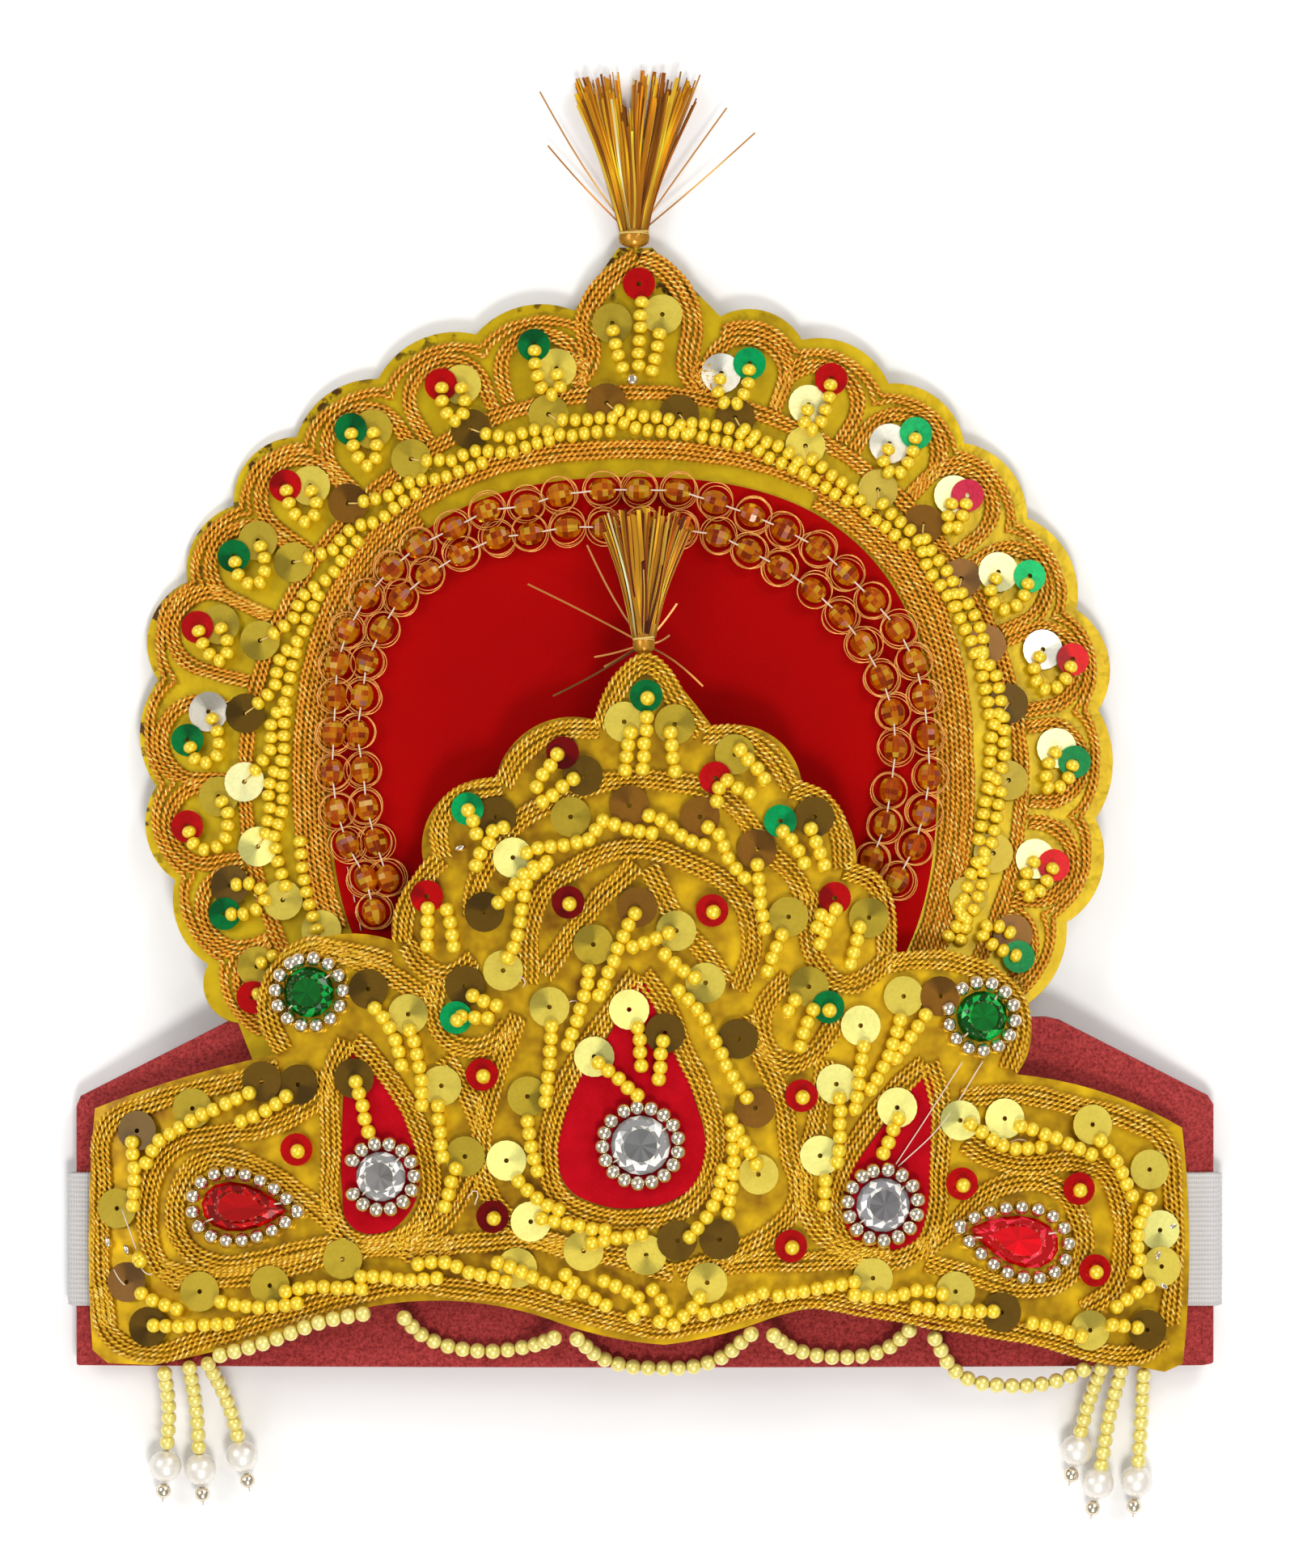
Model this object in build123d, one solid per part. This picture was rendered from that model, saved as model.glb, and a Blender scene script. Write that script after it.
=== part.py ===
from build123d import *
import os
from collections import namedtuple
from math import asin, atan2, cos, degrees, radians, sin, sqrt, tan

# A worn crown of gold foil card, lying on its back with its front up.
# +X runs across the brow, +Y up the crown to its plume, +Z out of its front, in millimetres.

# Clearances between sewn or glued pieces
SEAM = 0.15
FIT = 0.3

# Flocked card band that arches over the forehead
BAND_LENGTH = 215.0
BAND_END_HEIGHT = 50.5
BAND_MIDDLE_HEIGHT = 66.0
BAND_CARD = 1.8
BAND_ARCH = 12.0
BAND_FOOT_Y = -108.6
BAND_SHOULDER_X = 77.0
BAND_CORNER = 2.0

# Woven elastic that joins the band's ends behind the head
STRAP_WIDTH = 25.0
STRAP_THICK = 1.2
STRAP_TUCK = 12.0
STRAP_TURN = 0.75
STRAP_Y = -84.7

# Scalloped gold card disc that stands up behind the brow plate
HALO_CARD = 2.0
HALO_X = -2.2
HALO_Y = 2.3
HALO_RADIUS = 92.5
HALO_LEAN = 5.8
HALO_FOOT_Y = -52.6
HALO_PEAK_WIDTH = 6.4
HALO_PEAK_HEIGHT = 103.1
HALO_PEAK_SHIFT = 0.4
HALO_LEFT_FOOT_INSET = 8.0
HALO_RIGHT_FOOT_INSET = 4.0
LOBE_SHOULDER = 0.968

# Velvet field in the disc, a slightly squared circle inside the disc's rim, and what is sewn round it
FIELD_RIM = 33.1
FIELD_SQUARE = 2.1
FIELD_STEP = 15
VELVET = 0.7
FIELD_CORD_GAP = 0.9
FIELD_CORD_WIDTH = 2.6
PEARL_ROWS_GAP = 4.3
PEARL_ROWS_WIDTH = 4.4
PEARL_ROWS_HIGH = 2.4
LACE_WIDTH = 5.8
LACE_HIGH = 3.7
LACE_INSET = 0.2

# Gold card brow plate, bent to a tighter arch than the band
FRONT_WIDTH = 206.4
FRONT_HEIGHT = 128.8
FRONT_CARD = 1.6
FRONT_ARCH = 15.8
FRONT_X = -1.6
FRONT_CUSP_Y = -104.0
DROP_VELVET = 0.6

# Zari cord, in heights above the card that it is couched on
CORD_HIGH = 0.6
CORD_WIDTH = 3.8
CORD_MARGIN = 1.1

# Sequins, thin discs with a sewing hole
GOLD_SEQUIN = 7.6
COLOUR_SEQUIN = 6.2
SEQUIN_THICK = 0.25
SEQUIN_HOLE = 1.0
GOLD_SEQUIN_LIFT = 0.85
COLOUR_SEQUIN_LIFT = 1.2

# Sewn strings of seed pearls on the brow plate
STRING_LIFT = 1.55
STRING_HIGH = 2.2
STRING_WIDTH = 2.5
BUNDLE_WIDTH = 5.0

# Faceted stones, with the string of silver beads round each
STONE_HIGH = 3.0
STONE_GIRDLE = 0.9
STONE_TABLE = 0.58
STONE_SIDES = 12
SILVER_BEAD = 2.7
RING_TO_STONE = 0.2
RING_START = 140.0
RING_SWEEP = 345.0

# Pearl swags and tassels
SWAG_PEARL = 3.1
TASSEL_PEARL = 3.0
LARGE_PEARL = 6.1
END_BEAD = 2.7
THREAD = 0.5
BEAD_BORE = 0.9

# Tinsel plumes
TOP_PLUME_LENGTH = 32.3
TOP_PLUME_FALL = 0.5
FRONT_PLUME_LENGTH = 26.0
PLUME_OVER_LACE = 2.2
BINDING_LENGTH = 4.6
BINDING_RADIUS = 2.1
BINDING_CORE = 1.7
LOCK_SUNK = 1.4
LOCK_ROOT = 1.1
LOCK_WAIST = 1.3
LOCK_WAIST_SHARE = 0.45
LOCK_TIP = 2.3
LOCK_FLAT = 0.55
LOCK_EDGE = 0.25
WRAP_WIRE = 0.5

# Places on the brow plate are read off the photograph, as shares of its width and height
PHOTO_LEFT = 110.0
PHOTO_RIGHT = 1464.0
PHOTO_PEAK = 815.0
PHOTO_CUSP = 1660.0
FRONT_PEAK = (794, 815)

# Brow plate outline from its lower left corner: a point that the edge passes, then its next corner
FRONT_START = (133, 1686)
FRONT_EDGE = [
    # via, corner
    (None, (114, 1670)),
    ((109, 1520), (117, 1371)),
    ((215, 1336), (345, 1303)),
    ((321, 1230), (378, 1166)),
    ((432, 1154), (486, 1162)),
    ((496, 1108), (527, 1075)),
    ((534, 1005), (614, 962)),
    ((655, 903), (739, 892)),
    ((757, 850), (783, 815)),
    (None, (812, 815)),
    ((842, 850), (882, 901)),
    ((945, 905), (991, 971)),
    ((1046, 1016), (1055, 1085)),
    ((1094, 1121), (1105, 1177)),
    ((1187, 1184), (1235, 1200)),
    ((1274, 1262), (1256, 1328)),
    ((1362, 1350), (1462, 1395)),
    ((1471, 1540), (1463, 1687)),
    (None, (1440, 1697)),
    ((1290, 1664), (1130, 1622)),
    ((1030, 1612), (940, 1632)),
    ((880, 1650), (821, 1660)),
    ((760, 1652), (700, 1636)),
    ((550, 1606), (400, 1630)),
    ((290, 1664), (188, 1688)),
]

# Scallops of the disc, anticlockwise from its right foot
HALO_LOBES = [
    # angle, tip share, sequin share
    (-24.6, 0.945, 0.862),
    (-11.4, 0.974, 0.874),
    (2.4, 0.98, 0.9),
    (15.4, 1.005, 0.929),
    (27.3, 1.003, 0.91),
    (40.5, 1.0, 0.896),
    (50.9, 1.0, 0.913),
    (63.8, 0.996, 0.913),
    (74.4, 0.997, 0.883),
    (102.9, 0.996, 0.911),
    (115.9, 1.003, 0.897),
    (128.8, 1.01, 0.92),
    (139.7, 1.027, 0.93),
    (150.7, 1.027, 0.935),
    (160.6, 1.04, 0.943),
    (174.8, 1.012, 0.913),
    (185.9, 1.0, 0.914),
    (198.1, 0.974, 0.876),
    (208.5, 0.975, 0.885),
]
HALO_FOOT_ANGLES = (-30.5, 211.5)
PEAK_VALLEYS = (79.4, 97.2)
PEAK_SEQUINS = [
    # across, height above the disc's centre
    (1.1, 93.7),
    (-4.0, 86.3),
    (5.5, 88.0),
]
INNER_SEQUINS = 22
INNER_SEQUIN_INSET = 19.4
INNER_SEQUIN_ANGLES = (-18.0, 198.0)
LOBE_GOLD_TURN = 2.8
LOBE_GOLD_INSET = 3.2
LACE_ANGLES = (-21.0, 203.0)
PEARL_ROW_ANGLES = (-30.0, 203.0)
LOBE_LOOP_WIDTH = 2.6
LOBE_LOOP_RADIUS = 5.6
LOBE_LOOP_LEG = 7.0
PEAK_LOOP_RADIUS = 8.3
PEAK_LOOP_LEG = 13.0
PEAK_LOOP_DROP = 13.8
LOOPS_FOOT_WIDTH = 1.8

# Stones of the brow plate: round ones by radius, drops by length and width
ROUND_STONES = [
    # name, place, radius, on velvet
    ("centre_clear", (792, 1414), 5.6, True),
    ("left_clear", (473, 1453), 4.7, True),
    ("right_clear", (1090, 1488), 5.1, True),
    ("left_green", (384, 1226), 4.8, False),
    ("right_green", (1212, 1256), 4.8, False),
]
DROP_STONES = [
    # name, place, length, width, turn of its point
    ("left_red_drop", (308, 1492), 16.4, 10.0, -4.0),
    ("right_red_drop", (1252, 1531), 17.4, 10.2, 166.0),
]
PEAR_SAMPLES = 16
PEAR_SHARPNESS = 0.75
PEAR_FULLNESS = 0.58
PEAR_GROWTH = (1.55, 1.35)

# Velvet drops: apex, left side, widest left, foot, widest right, right side
VELVET_DROPS = [
    # name, six places
    ("centre_velvet_drop", (790, 1215), (722, 1330), (691, 1431), (781, 1490), (872, 1414), (846, 1303)),
    ("left_velvet_drop", (435, 1303), (422, 1360), (424, 1470), (465, 1524), (520, 1455), (490, 1360)),
    ("right_velvet_drop", (1145, 1330), (1082, 1400), (1042, 1490), (1095, 1545), (1148, 1500), (1152, 1400)),
]

# Cord routes of the brow plate apart from its edge
CORD_ROUTES = [
    [(640, 1190), (664, 1090), (740, 1040), (832, 1040), (898, 1090), (925, 1180)],
    [(676, 1232), (726, 1132), (789, 1063), (848, 1130), (894, 1212)],
    [(600, 1540), (640, 1440), (632, 1330), (590, 1260)],
    [(960, 1530), (935, 1440), (945, 1330), (985, 1270)],
]

# Sewn pearl strings of the brow plate, as routes with their widths
BAND_STRINGS = [
    ([(184, 1614), (300, 1612), (400, 1594), (548, 1582), (646, 1578), (749, 1607),
      (808, 1630), (868, 1618), (1000, 1592), (1167, 1602), (1240, 1622), (1343, 1652)], BUNDLE_WIDTH),
]
CENTRE_STRINGS = [
    ([(651, 1054), (702, 1042), (741, 1020), (807, 1018),
      (874, 1044), (921, 1092), (950, 1160)], STRING_WIDTH),
    ([(679, 1068), (650, 1108), (625, 1190)], STRING_WIDTH),
    ([(787, 1127), (759, 1186), (731, 1236), (701, 1297)], BUNDLE_WIDTH),
    ([(797, 1150), (829, 1192), (862, 1247), (906, 1333), (925, 1358)], BUNDLE_WIDTH),
    ([(683, 1262), (680, 1310), (665, 1366)], STRING_WIDTH),
    ([(652, 1383), (660, 1448), (692, 1496), (749, 1519)], STRING_WIDTH),
    ([(902, 1392), (910, 1440), (893, 1500), (850, 1534)], BUNDLE_WIDTH),
]
SIDE_STRINGS = [
    ([(461, 1241), (499, 1310), (520, 1366)], BUNDLE_WIDTH),
    ([(548, 1385), (560, 1433), (552, 1489)], BUNDLE_WIDTH),
    ([(1068, 1288), (1062, 1330), (1066, 1360)], STRING_WIDTH),
    ([(1113, 1256), (1100, 1300), (1080, 1345)], STRING_WIDTH),
    ([(1144, 1253), (1130, 1285), (1108, 1312)], STRING_WIDTH),
    ([(1037, 1357), (1033, 1426), (1010, 1496)], STRING_WIDTH),
    ([(164, 1409), (168, 1450), (164, 1493)], STRING_WIDTH),
    ([(184, 1440), (224, 1393), (312, 1352)], BUNDLE_WIDTH),
    ([(1208, 1399), (1287, 1412), (1357, 1420)], BUNDLE_WIDTH),
    ([(1378, 1415), (1412, 1479), (1402, 1553), (1395, 1640)], BUNDLE_WIDTH),
]

FRONT_GOLD_SEQUINS = [
    (772, 893), (834, 896), (721, 959), (908, 933), (615, 1010), (1006, 1010), (703, 1012), (760, 1000),
    (865, 1010), (635, 1064), (600, 1127), (625, 1199), (572, 1218), (935, 1050), (974, 1133), (1073, 1134),
    (999, 1219), (788, 1121), (734, 1167), (836, 1150), (872, 1214), (680, 1244), (776, 1247), (826, 1274),
    (735, 1305), (653, 1354), (912, 1283), (933, 1368), (937, 1450), (627, 1433), (655, 1508), (722, 1544),
    (788, 1552), (841, 1529), (895, 1528), (874, 1583), (640, 1565), (457, 1222), (506, 1250), (439, 1332),
    (547, 1341), (576, 1428), (1063, 1267), (1033, 1339), (1013, 1427), (1108, 1368), (1106, 1231),
    (1186, 1384), (1241, 1382), (1350, 1390), (1421, 1446), (1437, 1512), (1437, 1567), (1418, 1644),
    (1347, 1644), (1237, 1621), (1180, 1595), (1078, 1578), (170, 1398), (239, 1370), (318, 1338),
    (372, 1342), (145, 1494), (157, 1585), (184, 1640), (248, 1596), (335, 1588), (425, 1555),
]
FRONT_COLOUR_SEQUINS = [
    # place, over a gold sequin
    ((799, 861), True), ((696, 931), True), ((884, 962), True), ((579, 1000), True), ((964, 1015), True),
    ((529, 1108), True), ((1031, 1110), True), ((565, 1257), True), ((1023, 1244), True),
    ((703, 1115), False), ((880, 1125), False), ((597, 1327), False), ((990, 1353), False),
    ((368, 1420), False), ((1188, 1462), False), ((1333, 1469), False), ((610, 1502), False),
    ((977, 1538), False), ((1353, 1570), False),
]

# Swags hang from the lower edge on to the band, and the first lies along the edge
EDGE_SWAG = [(267, 1676), (330, 1658), (400, 1632), (457, 1621)]
HUNG_SWAGS = [
    [(497, 1624), (530, 1654), (592, 1669), (650, 1664), (690, 1650)],
    [(714, 1653), (752, 1681), (808, 1690), (880, 1682), (928, 1647)],
    [(952, 1646), (985, 1668), (1040, 1677), (1092, 1668), (1128, 1639)],
    [(1152, 1649), (1188, 1700), (1246, 1713), (1304, 1708), (1345, 1691)],
]

# Tassels: where they leave the lower edge, bend and end, and the end bead's place
TASSELS = [
    # name, across, bend, lower end, end bead
    ("left_outer", 203, (208, 1745), (205, 1793), (201, 1842)),
    ("left_middle", 234, (242, 1745), (245, 1797), (249, 1850)),
    ("left_inner", 256, (281, 1735), (294, 1781), (305, 1834)),
    ("right_inner", 1362, (1347, 1735), (1337, 1774), (1327, 1821)),
    ("right_middle", 1386, (1372, 1755), (1363, 1815), (1352, 1870)),
    ("right_outer", 1414, (1412, 1755), (1409, 1812), (1404, 1862)),
]
TASSEL_REST_Z = 3.5
END_BEAD_Z = 2.4

# Locks of the plumes: direction from straight up the crown, length share, tip share
TOP_LOCKS = [
    (-16.0, 0.94, 0.9),
    (-9.0, 1.0, 1.1),
    (-2.5, 0.86, 0.9),
    (4.5, 1.0, 1.1),
    (12.0, 0.97, 0.9),
]
FRONT_LOCKS = [
    (-9.5, 0.98, 1.0),
    (-2.0, 1.0, 1.1),
    (6.0, 1.0, 1.1),
    (15.0, 0.94, 1.0),
]

# A card's arch: where its crown line runs, the radius of its back face and that line's height
Arch = namedtuple("Arch", "x radius top")
REACH = 130.0


def arch_of(x, span, rise, top):
    """Arch of a card whose back face rises by rise over its span."""
    return Arch(x, (span * span / 4 + rise * rise) / (2 * rise), top)


def arch_z(arch, x, lift=0.0):
    """Height of the surface that lies lift above the card's back, at x."""
    radius = arch.radius + lift
    return arch.top - arch.radius + sqrt(radius * radius - (x - arch.x) ** 2)


def layer(arch, low, high):
    """Thin arched sheet between two heights above a card's back."""
    ring = Circle(arch.radius + high) - Circle(arch.radius + low)
    upper = Pos(0, arch.radius) * Rectangle(2 * REACH, 2 * arch.radius)
    section = Plane.XZ * (Pos(arch.x, arch.top - arch.radius) * (ring & upper))
    return extrude(section, amount=REACH, both=True)


def arched(region, arch, low, high):
    """Flat region cut out of the arched sheet between two heights."""
    block = extrude(Pos(0, 0, -REACH / 2) * region, amount=REACH)
    return block & layer(arch, low, high)


def joined(shapes):
    """One sketch out of several that may overlap."""
    whole = shapes[0]
    for shape in shapes[1:]:
        whole = whole + shape
    return whole


def bend_radii(points):
    """Largest arc that each corner's two runs allow."""
    radii = []
    for before, corner, after in zip(points, points[1:], points[2:]):
        run_in = Vector(corner) - Vector(before)
        run_out = Vector(after) - Vector(corner)
        half_turn = radians(run_in.get_angle(run_out)) / 2
        radii.append(0.45 * min(run_in.length, run_out.length) / tan(half_turn))
    return radii


def route(points):
    """Straight runs joined by tangent arcs."""
    return FilletPolyline(*points, radius=bend_radii(points))


def tube(points, diameter):
    """Stand-in for a string of beads along a route."""
    path = route(points)
    start = Plane(origin=path @ 0, z_dir=path % 0)
    return sweep(start * Circle(diameter / 2), path=path)


# The brow plate's ends rest on the elastic where it is tucked in over the band
band_arch = arch_of(0.0, BAND_LENGTH, BAND_ARCH, STRAP_THICK + FIT + BAND_ARCH)
band_half = BAND_LENGTH / 2
band_end_slope = asin(band_half / band_arch.radius)
tuck_x = band_half - STRAP_TUCK * cos(band_end_slope)
front_end_z = arch_z(band_arch, FRONT_X + FRONT_WIDTH / 2, BAND_CARD + FIT + STRAP_THICK + FIT)
front_arch = arch_of(FRONT_X, FRONT_WIDTH, FRONT_ARCH, front_end_z + FRONT_ARCH)
halo_arch = Arch(0.0, band_arch.radius + BAND_CARD + FIT, 0.0)
hinge_y = BAND_FOOT_Y + BAND_MIDDLE_HEIGHT
hinge_z = band_arch.top + BAND_CARD + FIT
halo_place = Pos(0, hinge_y, hinge_z) * Rot(-HALO_LEAN, 0, 0) * Pos(0, -hinge_y, 0)

# Flocked band: a low gable in front view, arched over the forehead
band_outline = Polygon(
    (-band_half, BAND_FOOT_Y),
    (band_half, BAND_FOOT_Y),
    (band_half, BAND_FOOT_Y + BAND_END_HEIGHT),
    (BAND_SHOULDER_X, hinge_y),
    (-BAND_SHOULDER_X, hinge_y),
    (-band_half, BAND_FOOT_Y + BAND_END_HEIGHT),
    align=None,
)
foot_corners = band_outline.vertices().sort_by(Axis.Y)[0:2]
band_outline = fillet(foot_corners, BAND_CORNER)
band_lining = arched(band_outline, band_arch, 0, BAND_CARD)

# Elastic: flat under the crown, round each end of the band and in over its front
strap_clear = STRAP_THICK / 2 + FIT
strap_right = [
    (band_half + strap_clear, STRAP_THICK / 2),
    (band_half + strap_clear, arch_z(band_arch, band_half, BAND_CARD) + strap_clear),
    (tuck_x, arch_z(band_arch, tuck_x, BAND_CARD + strap_clear)),
]
strap_left = [(-x, z) for x, z in reversed(strap_right)]
strap_line = FilletPolyline(*strap_left, *strap_right, radius=STRAP_TURN)
strap_plane = Plane(origin=(0, STRAP_Y - STRAP_WIDTH / 2, 0), x_dir=(1, 0, 0), z_dir=(0, -1, 0))
elastic_strap = extrude(strap_plane * trace(strap_line, STRAP_THICK), amount=-STRAP_WIDTH)


# Disc: scallops between valleys, a flat-topped peak and a straight foot behind the brow plate
def polar(angle, radius):
    """Point of the disc at an angle from +X."""
    return (HALO_X + radius * cos(radians(angle)), HALO_Y + radius * sin(radians(angle)))


def halo_edge():
    """Lines and arcs of the disc's outline, anticlockwise from its right foot."""
    right_valley = polar(PEAK_VALLEYS[0], HALO_RADIUS * LOBE_SHOULDER)
    left_valley = polar(PEAK_VALLEYS[1], HALO_RADIUS * LOBE_SHOULDER)
    peak_right = (HALO_X + HALO_PEAK_SHIFT + HALO_PEAK_WIDTH / 2, HALO_PEAK_HEIGHT)
    peak_left = (HALO_X + HALO_PEAK_SHIFT - HALO_PEAK_WIDTH / 2, HALO_PEAK_HEIGHT)
    right_lobes = [lobe for lobe in HALO_LOBES if lobe[0] < 90]
    left_lobes = [lobe for lobe in HALO_LOBES if lobe[0] > 90]
    edges = []
    for side in (right_lobes, left_lobes):
        angles = [lobe[0] for lobe in side]
        first = HALO_FOOT_ANGLES[0] if side[0][0] < 90 else PEAK_VALLEYS[1]
        last = PEAK_VALLEYS[0] if side[0][0] < 90 else HALO_FOOT_ANGLES[1]
        valleys = [first] + [(a + b) / 2 for a, b in zip(angles, angles[1:])] + [last]
        for index, (angle, tip, _) in enumerate(side):
            start_share = tip if index == 0 else (tip + side[index - 1][1]) / 2
            end_share = tip if index == len(side) - 1 else (tip + side[index + 1][1]) / 2
            start = polar(valleys[index], HALO_RADIUS * LOBE_SHOULDER * start_share)
            end = polar(valleys[index + 1], HALO_RADIUS * LOBE_SHOULDER * end_share)
            if edges:
                start = edges[-1] @ 1
            edges.append(ThreePointArc(start, polar(angle, HALO_RADIUS * tip), end))
        if side[0][0] < 90:
            edges.append(Line(edges[-1] @ 1, peak_right))
            edges.append(Line(peak_right, peak_left))
            edges.append(Line(peak_left, left_valley))
    left_foot = (polar(HALO_FOOT_ANGLES[1], HALO_RADIUS)[0] + HALO_LEFT_FOOT_INSET, HALO_FOOT_Y)
    right_foot = ((edges[0] @ 0).X - HALO_RIGHT_FOOT_INSET, HALO_FOOT_Y)
    edges.append(Line(edges[-1] @ 1, left_foot))
    edges.append(Line(left_foot, right_foot))
    edges.append(Line(right_foot, edges[0] @ 0))
    return edges


halo_outline = make_face(Curve() + halo_edge())
halo_plate = halo_place * arched(halo_outline, halo_arch, 0, HALO_CARD)


def field_radius(angle, offset=0.0):
    """Radius of the velvet field's squared circle, grown by an offset."""
    return HALO_RADIUS - FIELD_RIM - FIELD_SQUARE * cos(4 * radians(angle)) + offset


def field_loop(offset):
    """Squared circle round the field at an offset from its edge."""
    points = [polar(angle, field_radius(angle, offset)) for angle in range(0, 360, FIELD_STEP)]
    return make_face(Spline(*points, periodic=True))


def wedge(angles):
    """Part of the disc between two angles."""
    start, end = angles
    corners = [(HALO_X, HALO_Y)]
    steps = 12
    for step in range(steps + 1):
        corners.append(polar(start + (end - start) * step / steps, 2 * HALO_RADIUS))
    return Polygon(*corners, align=None)


# The brow plate hides the lower disc, so what is sewn on the disc stops at the plate's edge
def front_at(place):
    """Point of the model for a place in the photograph, tied to the brow plate's size."""
    middle = (PHOTO_LEFT + PHOTO_RIGHT) / 2
    x = FRONT_X + (place[0] - middle) * FRONT_WIDTH / (PHOTO_RIGHT - PHOTO_LEFT)
    y = FRONT_CUSP_Y + (PHOTO_CUSP - place[1]) * FRONT_HEIGHT / (PHOTO_CUSP - PHOTO_PEAK)
    return (x, y)


def front_edge():
    """Lines and arcs of the brow plate's outline."""
    edges = []
    start = front_at(FRONT_START)
    for via, corner in FRONT_EDGE:
        end = front_at(corner)
        edges.append(Line(start, end) if via is None else ThreePointArc(start, front_at(via), end))
        start = end
    edges.append(Line(start, front_at(FRONT_START)))
    return edges


front_outline = make_face(Curve() + front_edge())
front_plate = arched(front_outline, front_arch, 0, FRONT_CARD)
front_shadow = offset(front_outline, FIT)


def sequin(place, diameter):
    """Drilled disc in plan."""
    return Pos(*place) * (Circle(diameter / 2) - Circle(SEQUIN_HOLE / 2))


inner_step = (INNER_SEQUIN_ANGLES[1] - INNER_SEQUIN_ANGLES[0]) / (INNER_SEQUINS - 1)
inner_places = [
    polar(INNER_SEQUIN_ANGLES[0] + inner_step * index, HALO_RADIUS - INNER_SEQUIN_INSET)
    for index in range(INNER_SEQUINS)
]
lobe_places = []
lobe_gold_places = []
for angle, _, share in HALO_LOBES:
    towards_peak = LOBE_GOLD_TURN if angle < 90 else -LOBE_GOLD_TURN
    lobe_places.append(polar(angle, HALO_RADIUS * share))
    lobe_gold_places.append(polar(angle + towards_peak, HALO_RADIUS * share - LOBE_GOLD_INSET))
peak_places = [(HALO_X + across, HALO_Y + height) for across, height in PEAK_SEQUINS]
halo_gold_places = inner_places + lobe_gold_places[:-1] + peak_places[1:]
halo_colour_places = lobe_places[:-1] + peak_places[:1]


def on_halo(region, low, high):
    """Flat region raised on the disc's card and leant back with it."""
    return halo_place * arched(region, halo_arch, HALO_CARD + low, HALO_CARD + high)


halo_velvet = on_halo(field_loop(0) & halo_outline, SEAM, SEAM + VELVET)
halo_gold_sequins = on_halo(
    joined([sequin(place, GOLD_SEQUIN) for place in halo_gold_places]),
    GOLD_SEQUIN_LIFT,
    GOLD_SEQUIN_LIFT + SEQUIN_THICK,
)
halo_colour_sequins = on_halo(
    joined([sequin(place, COLOUR_SEQUIN) for place in halo_colour_places]),
    COLOUR_SEQUIN_LIFT,
    COLOUR_SEQUIN_LIFT + SEQUIN_THICK,
)


def cord_loop(leg, radius):
    """Long loop of cord along X."""
    outer = SlotCenterToCenter(leg, 2 * radius + LOBE_LOOP_WIDTH)
    return outer - SlotCenterToCenter(leg, 2 * radius - LOBE_LOOP_WIDTH)


loops = []
for angle, _, share in HALO_LOBES:
    loop_place = Pos(*polar(angle, HALO_RADIUS * share - LOBE_LOOP_LEG / 2)) * Rot(0, 0, angle)
    loops.append(loop_place * cord_loop(LOBE_LOOP_LEG, LOBE_LOOP_RADIUS))
peak_place = Pos(HALO_X + HALO_PEAK_SHIFT, HALO_PEAK_HEIGHT - PEAK_LOOP_DROP) * Rot(0, 0, 90)
loops.append(peak_place * cord_loop(PEAK_LOOP_LEG, PEAK_LOOP_RADIUS))
foot_radius = HALO_RADIUS - INNER_SEQUIN_INSET
loops_foot = Circle(foot_radius + LOOPS_FOOT_WIDTH) - Circle(foot_radius)
loops_region = joined(loops) + Pos(HALO_X, HALO_Y) * loops_foot
loops_region = loops_region - Pos(HALO_X, HALO_Y) * Circle(foot_radius)
loops_region = loops_region & offset(halo_outline, -CORD_MARGIN)
field_cord = field_loop(FIELD_CORD_GAP + FIELD_CORD_WIDTH) - field_loop(FIELD_CORD_GAP)
cord_region = (loops_region + field_cord) & wedge(PEARL_ROW_ANGLES)
halo_cords = on_halo(cord_region - front_shadow, SEAM, SEAM + CORD_HIGH)

rows_region = field_loop(PEARL_ROWS_GAP + PEARL_ROWS_WIDTH) - field_loop(PEARL_ROWS_GAP)
rows_region = (rows_region & wedge(PEARL_ROW_ANGLES)) - front_shadow
rows_region = rows_region - joined(
    [Pos(*place) * Circle(GOLD_SEQUIN / 2 + FIT) for place in inner_places]
)
halo_pearl_rows = on_halo(rows_region, SEAM, SEAM + PEARL_ROWS_HIGH)

lace_outer = field_loop(-LACE_INSET) - field_loop(-LACE_INSET - LACE_WIDTH)
lace_inner = field_loop(-2 * LACE_INSET - LACE_WIDTH - SEAM) - field_loop(-2 * LACE_INSET - 2 * LACE_WIDTH)
lace_region = ((lace_outer + lace_inner) & wedge(LACE_ANGLES)) - front_shadow
lace_floor = 2 * SEAM + VELVET
bead_lace = on_halo(lace_region, lace_floor, lace_floor + LACE_HIGH)


# Stones sit on the card or on a velvet drop, square to the arched card below them
def on_front(place, lift):
    """Place on the brow plate, lifted above its face and tilted with its arch."""
    x, y = front_at(place)
    tilt = degrees(asin((x - front_arch.x) / front_arch.radius))
    return Pos(x, y, arch_z(front_arch, x, FRONT_CARD)) * Rot(0, tilt, 0) * Pos(0, 0, lift)


def on_front_card(region, low, high):
    """Flat region raised on the brow plate's face."""
    return arched(region, front_arch, FRONT_CARD + low, FRONT_CARD + high)


def pear(length, width):
    """Drop outline with its point towards +X."""
    points = []
    for step in range(PEAR_SAMPLES):
        turn = radians(360 * step / PEAR_SAMPLES)
        narrowing = abs(sin(turn / 2)) ** PEAR_SHARPNESS
        points.append((length / 2 * cos(turn), width * PEAR_FULLNESS * sin(turn) * narrowing))
    return points


def grown_pear(length, width, growth):
    """Drop outline that lies a growth's half outside another, its point further."""
    return pear(length + growth * PEAR_GROWTH[0], width + growth * PEAR_GROWTH[1])


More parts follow.
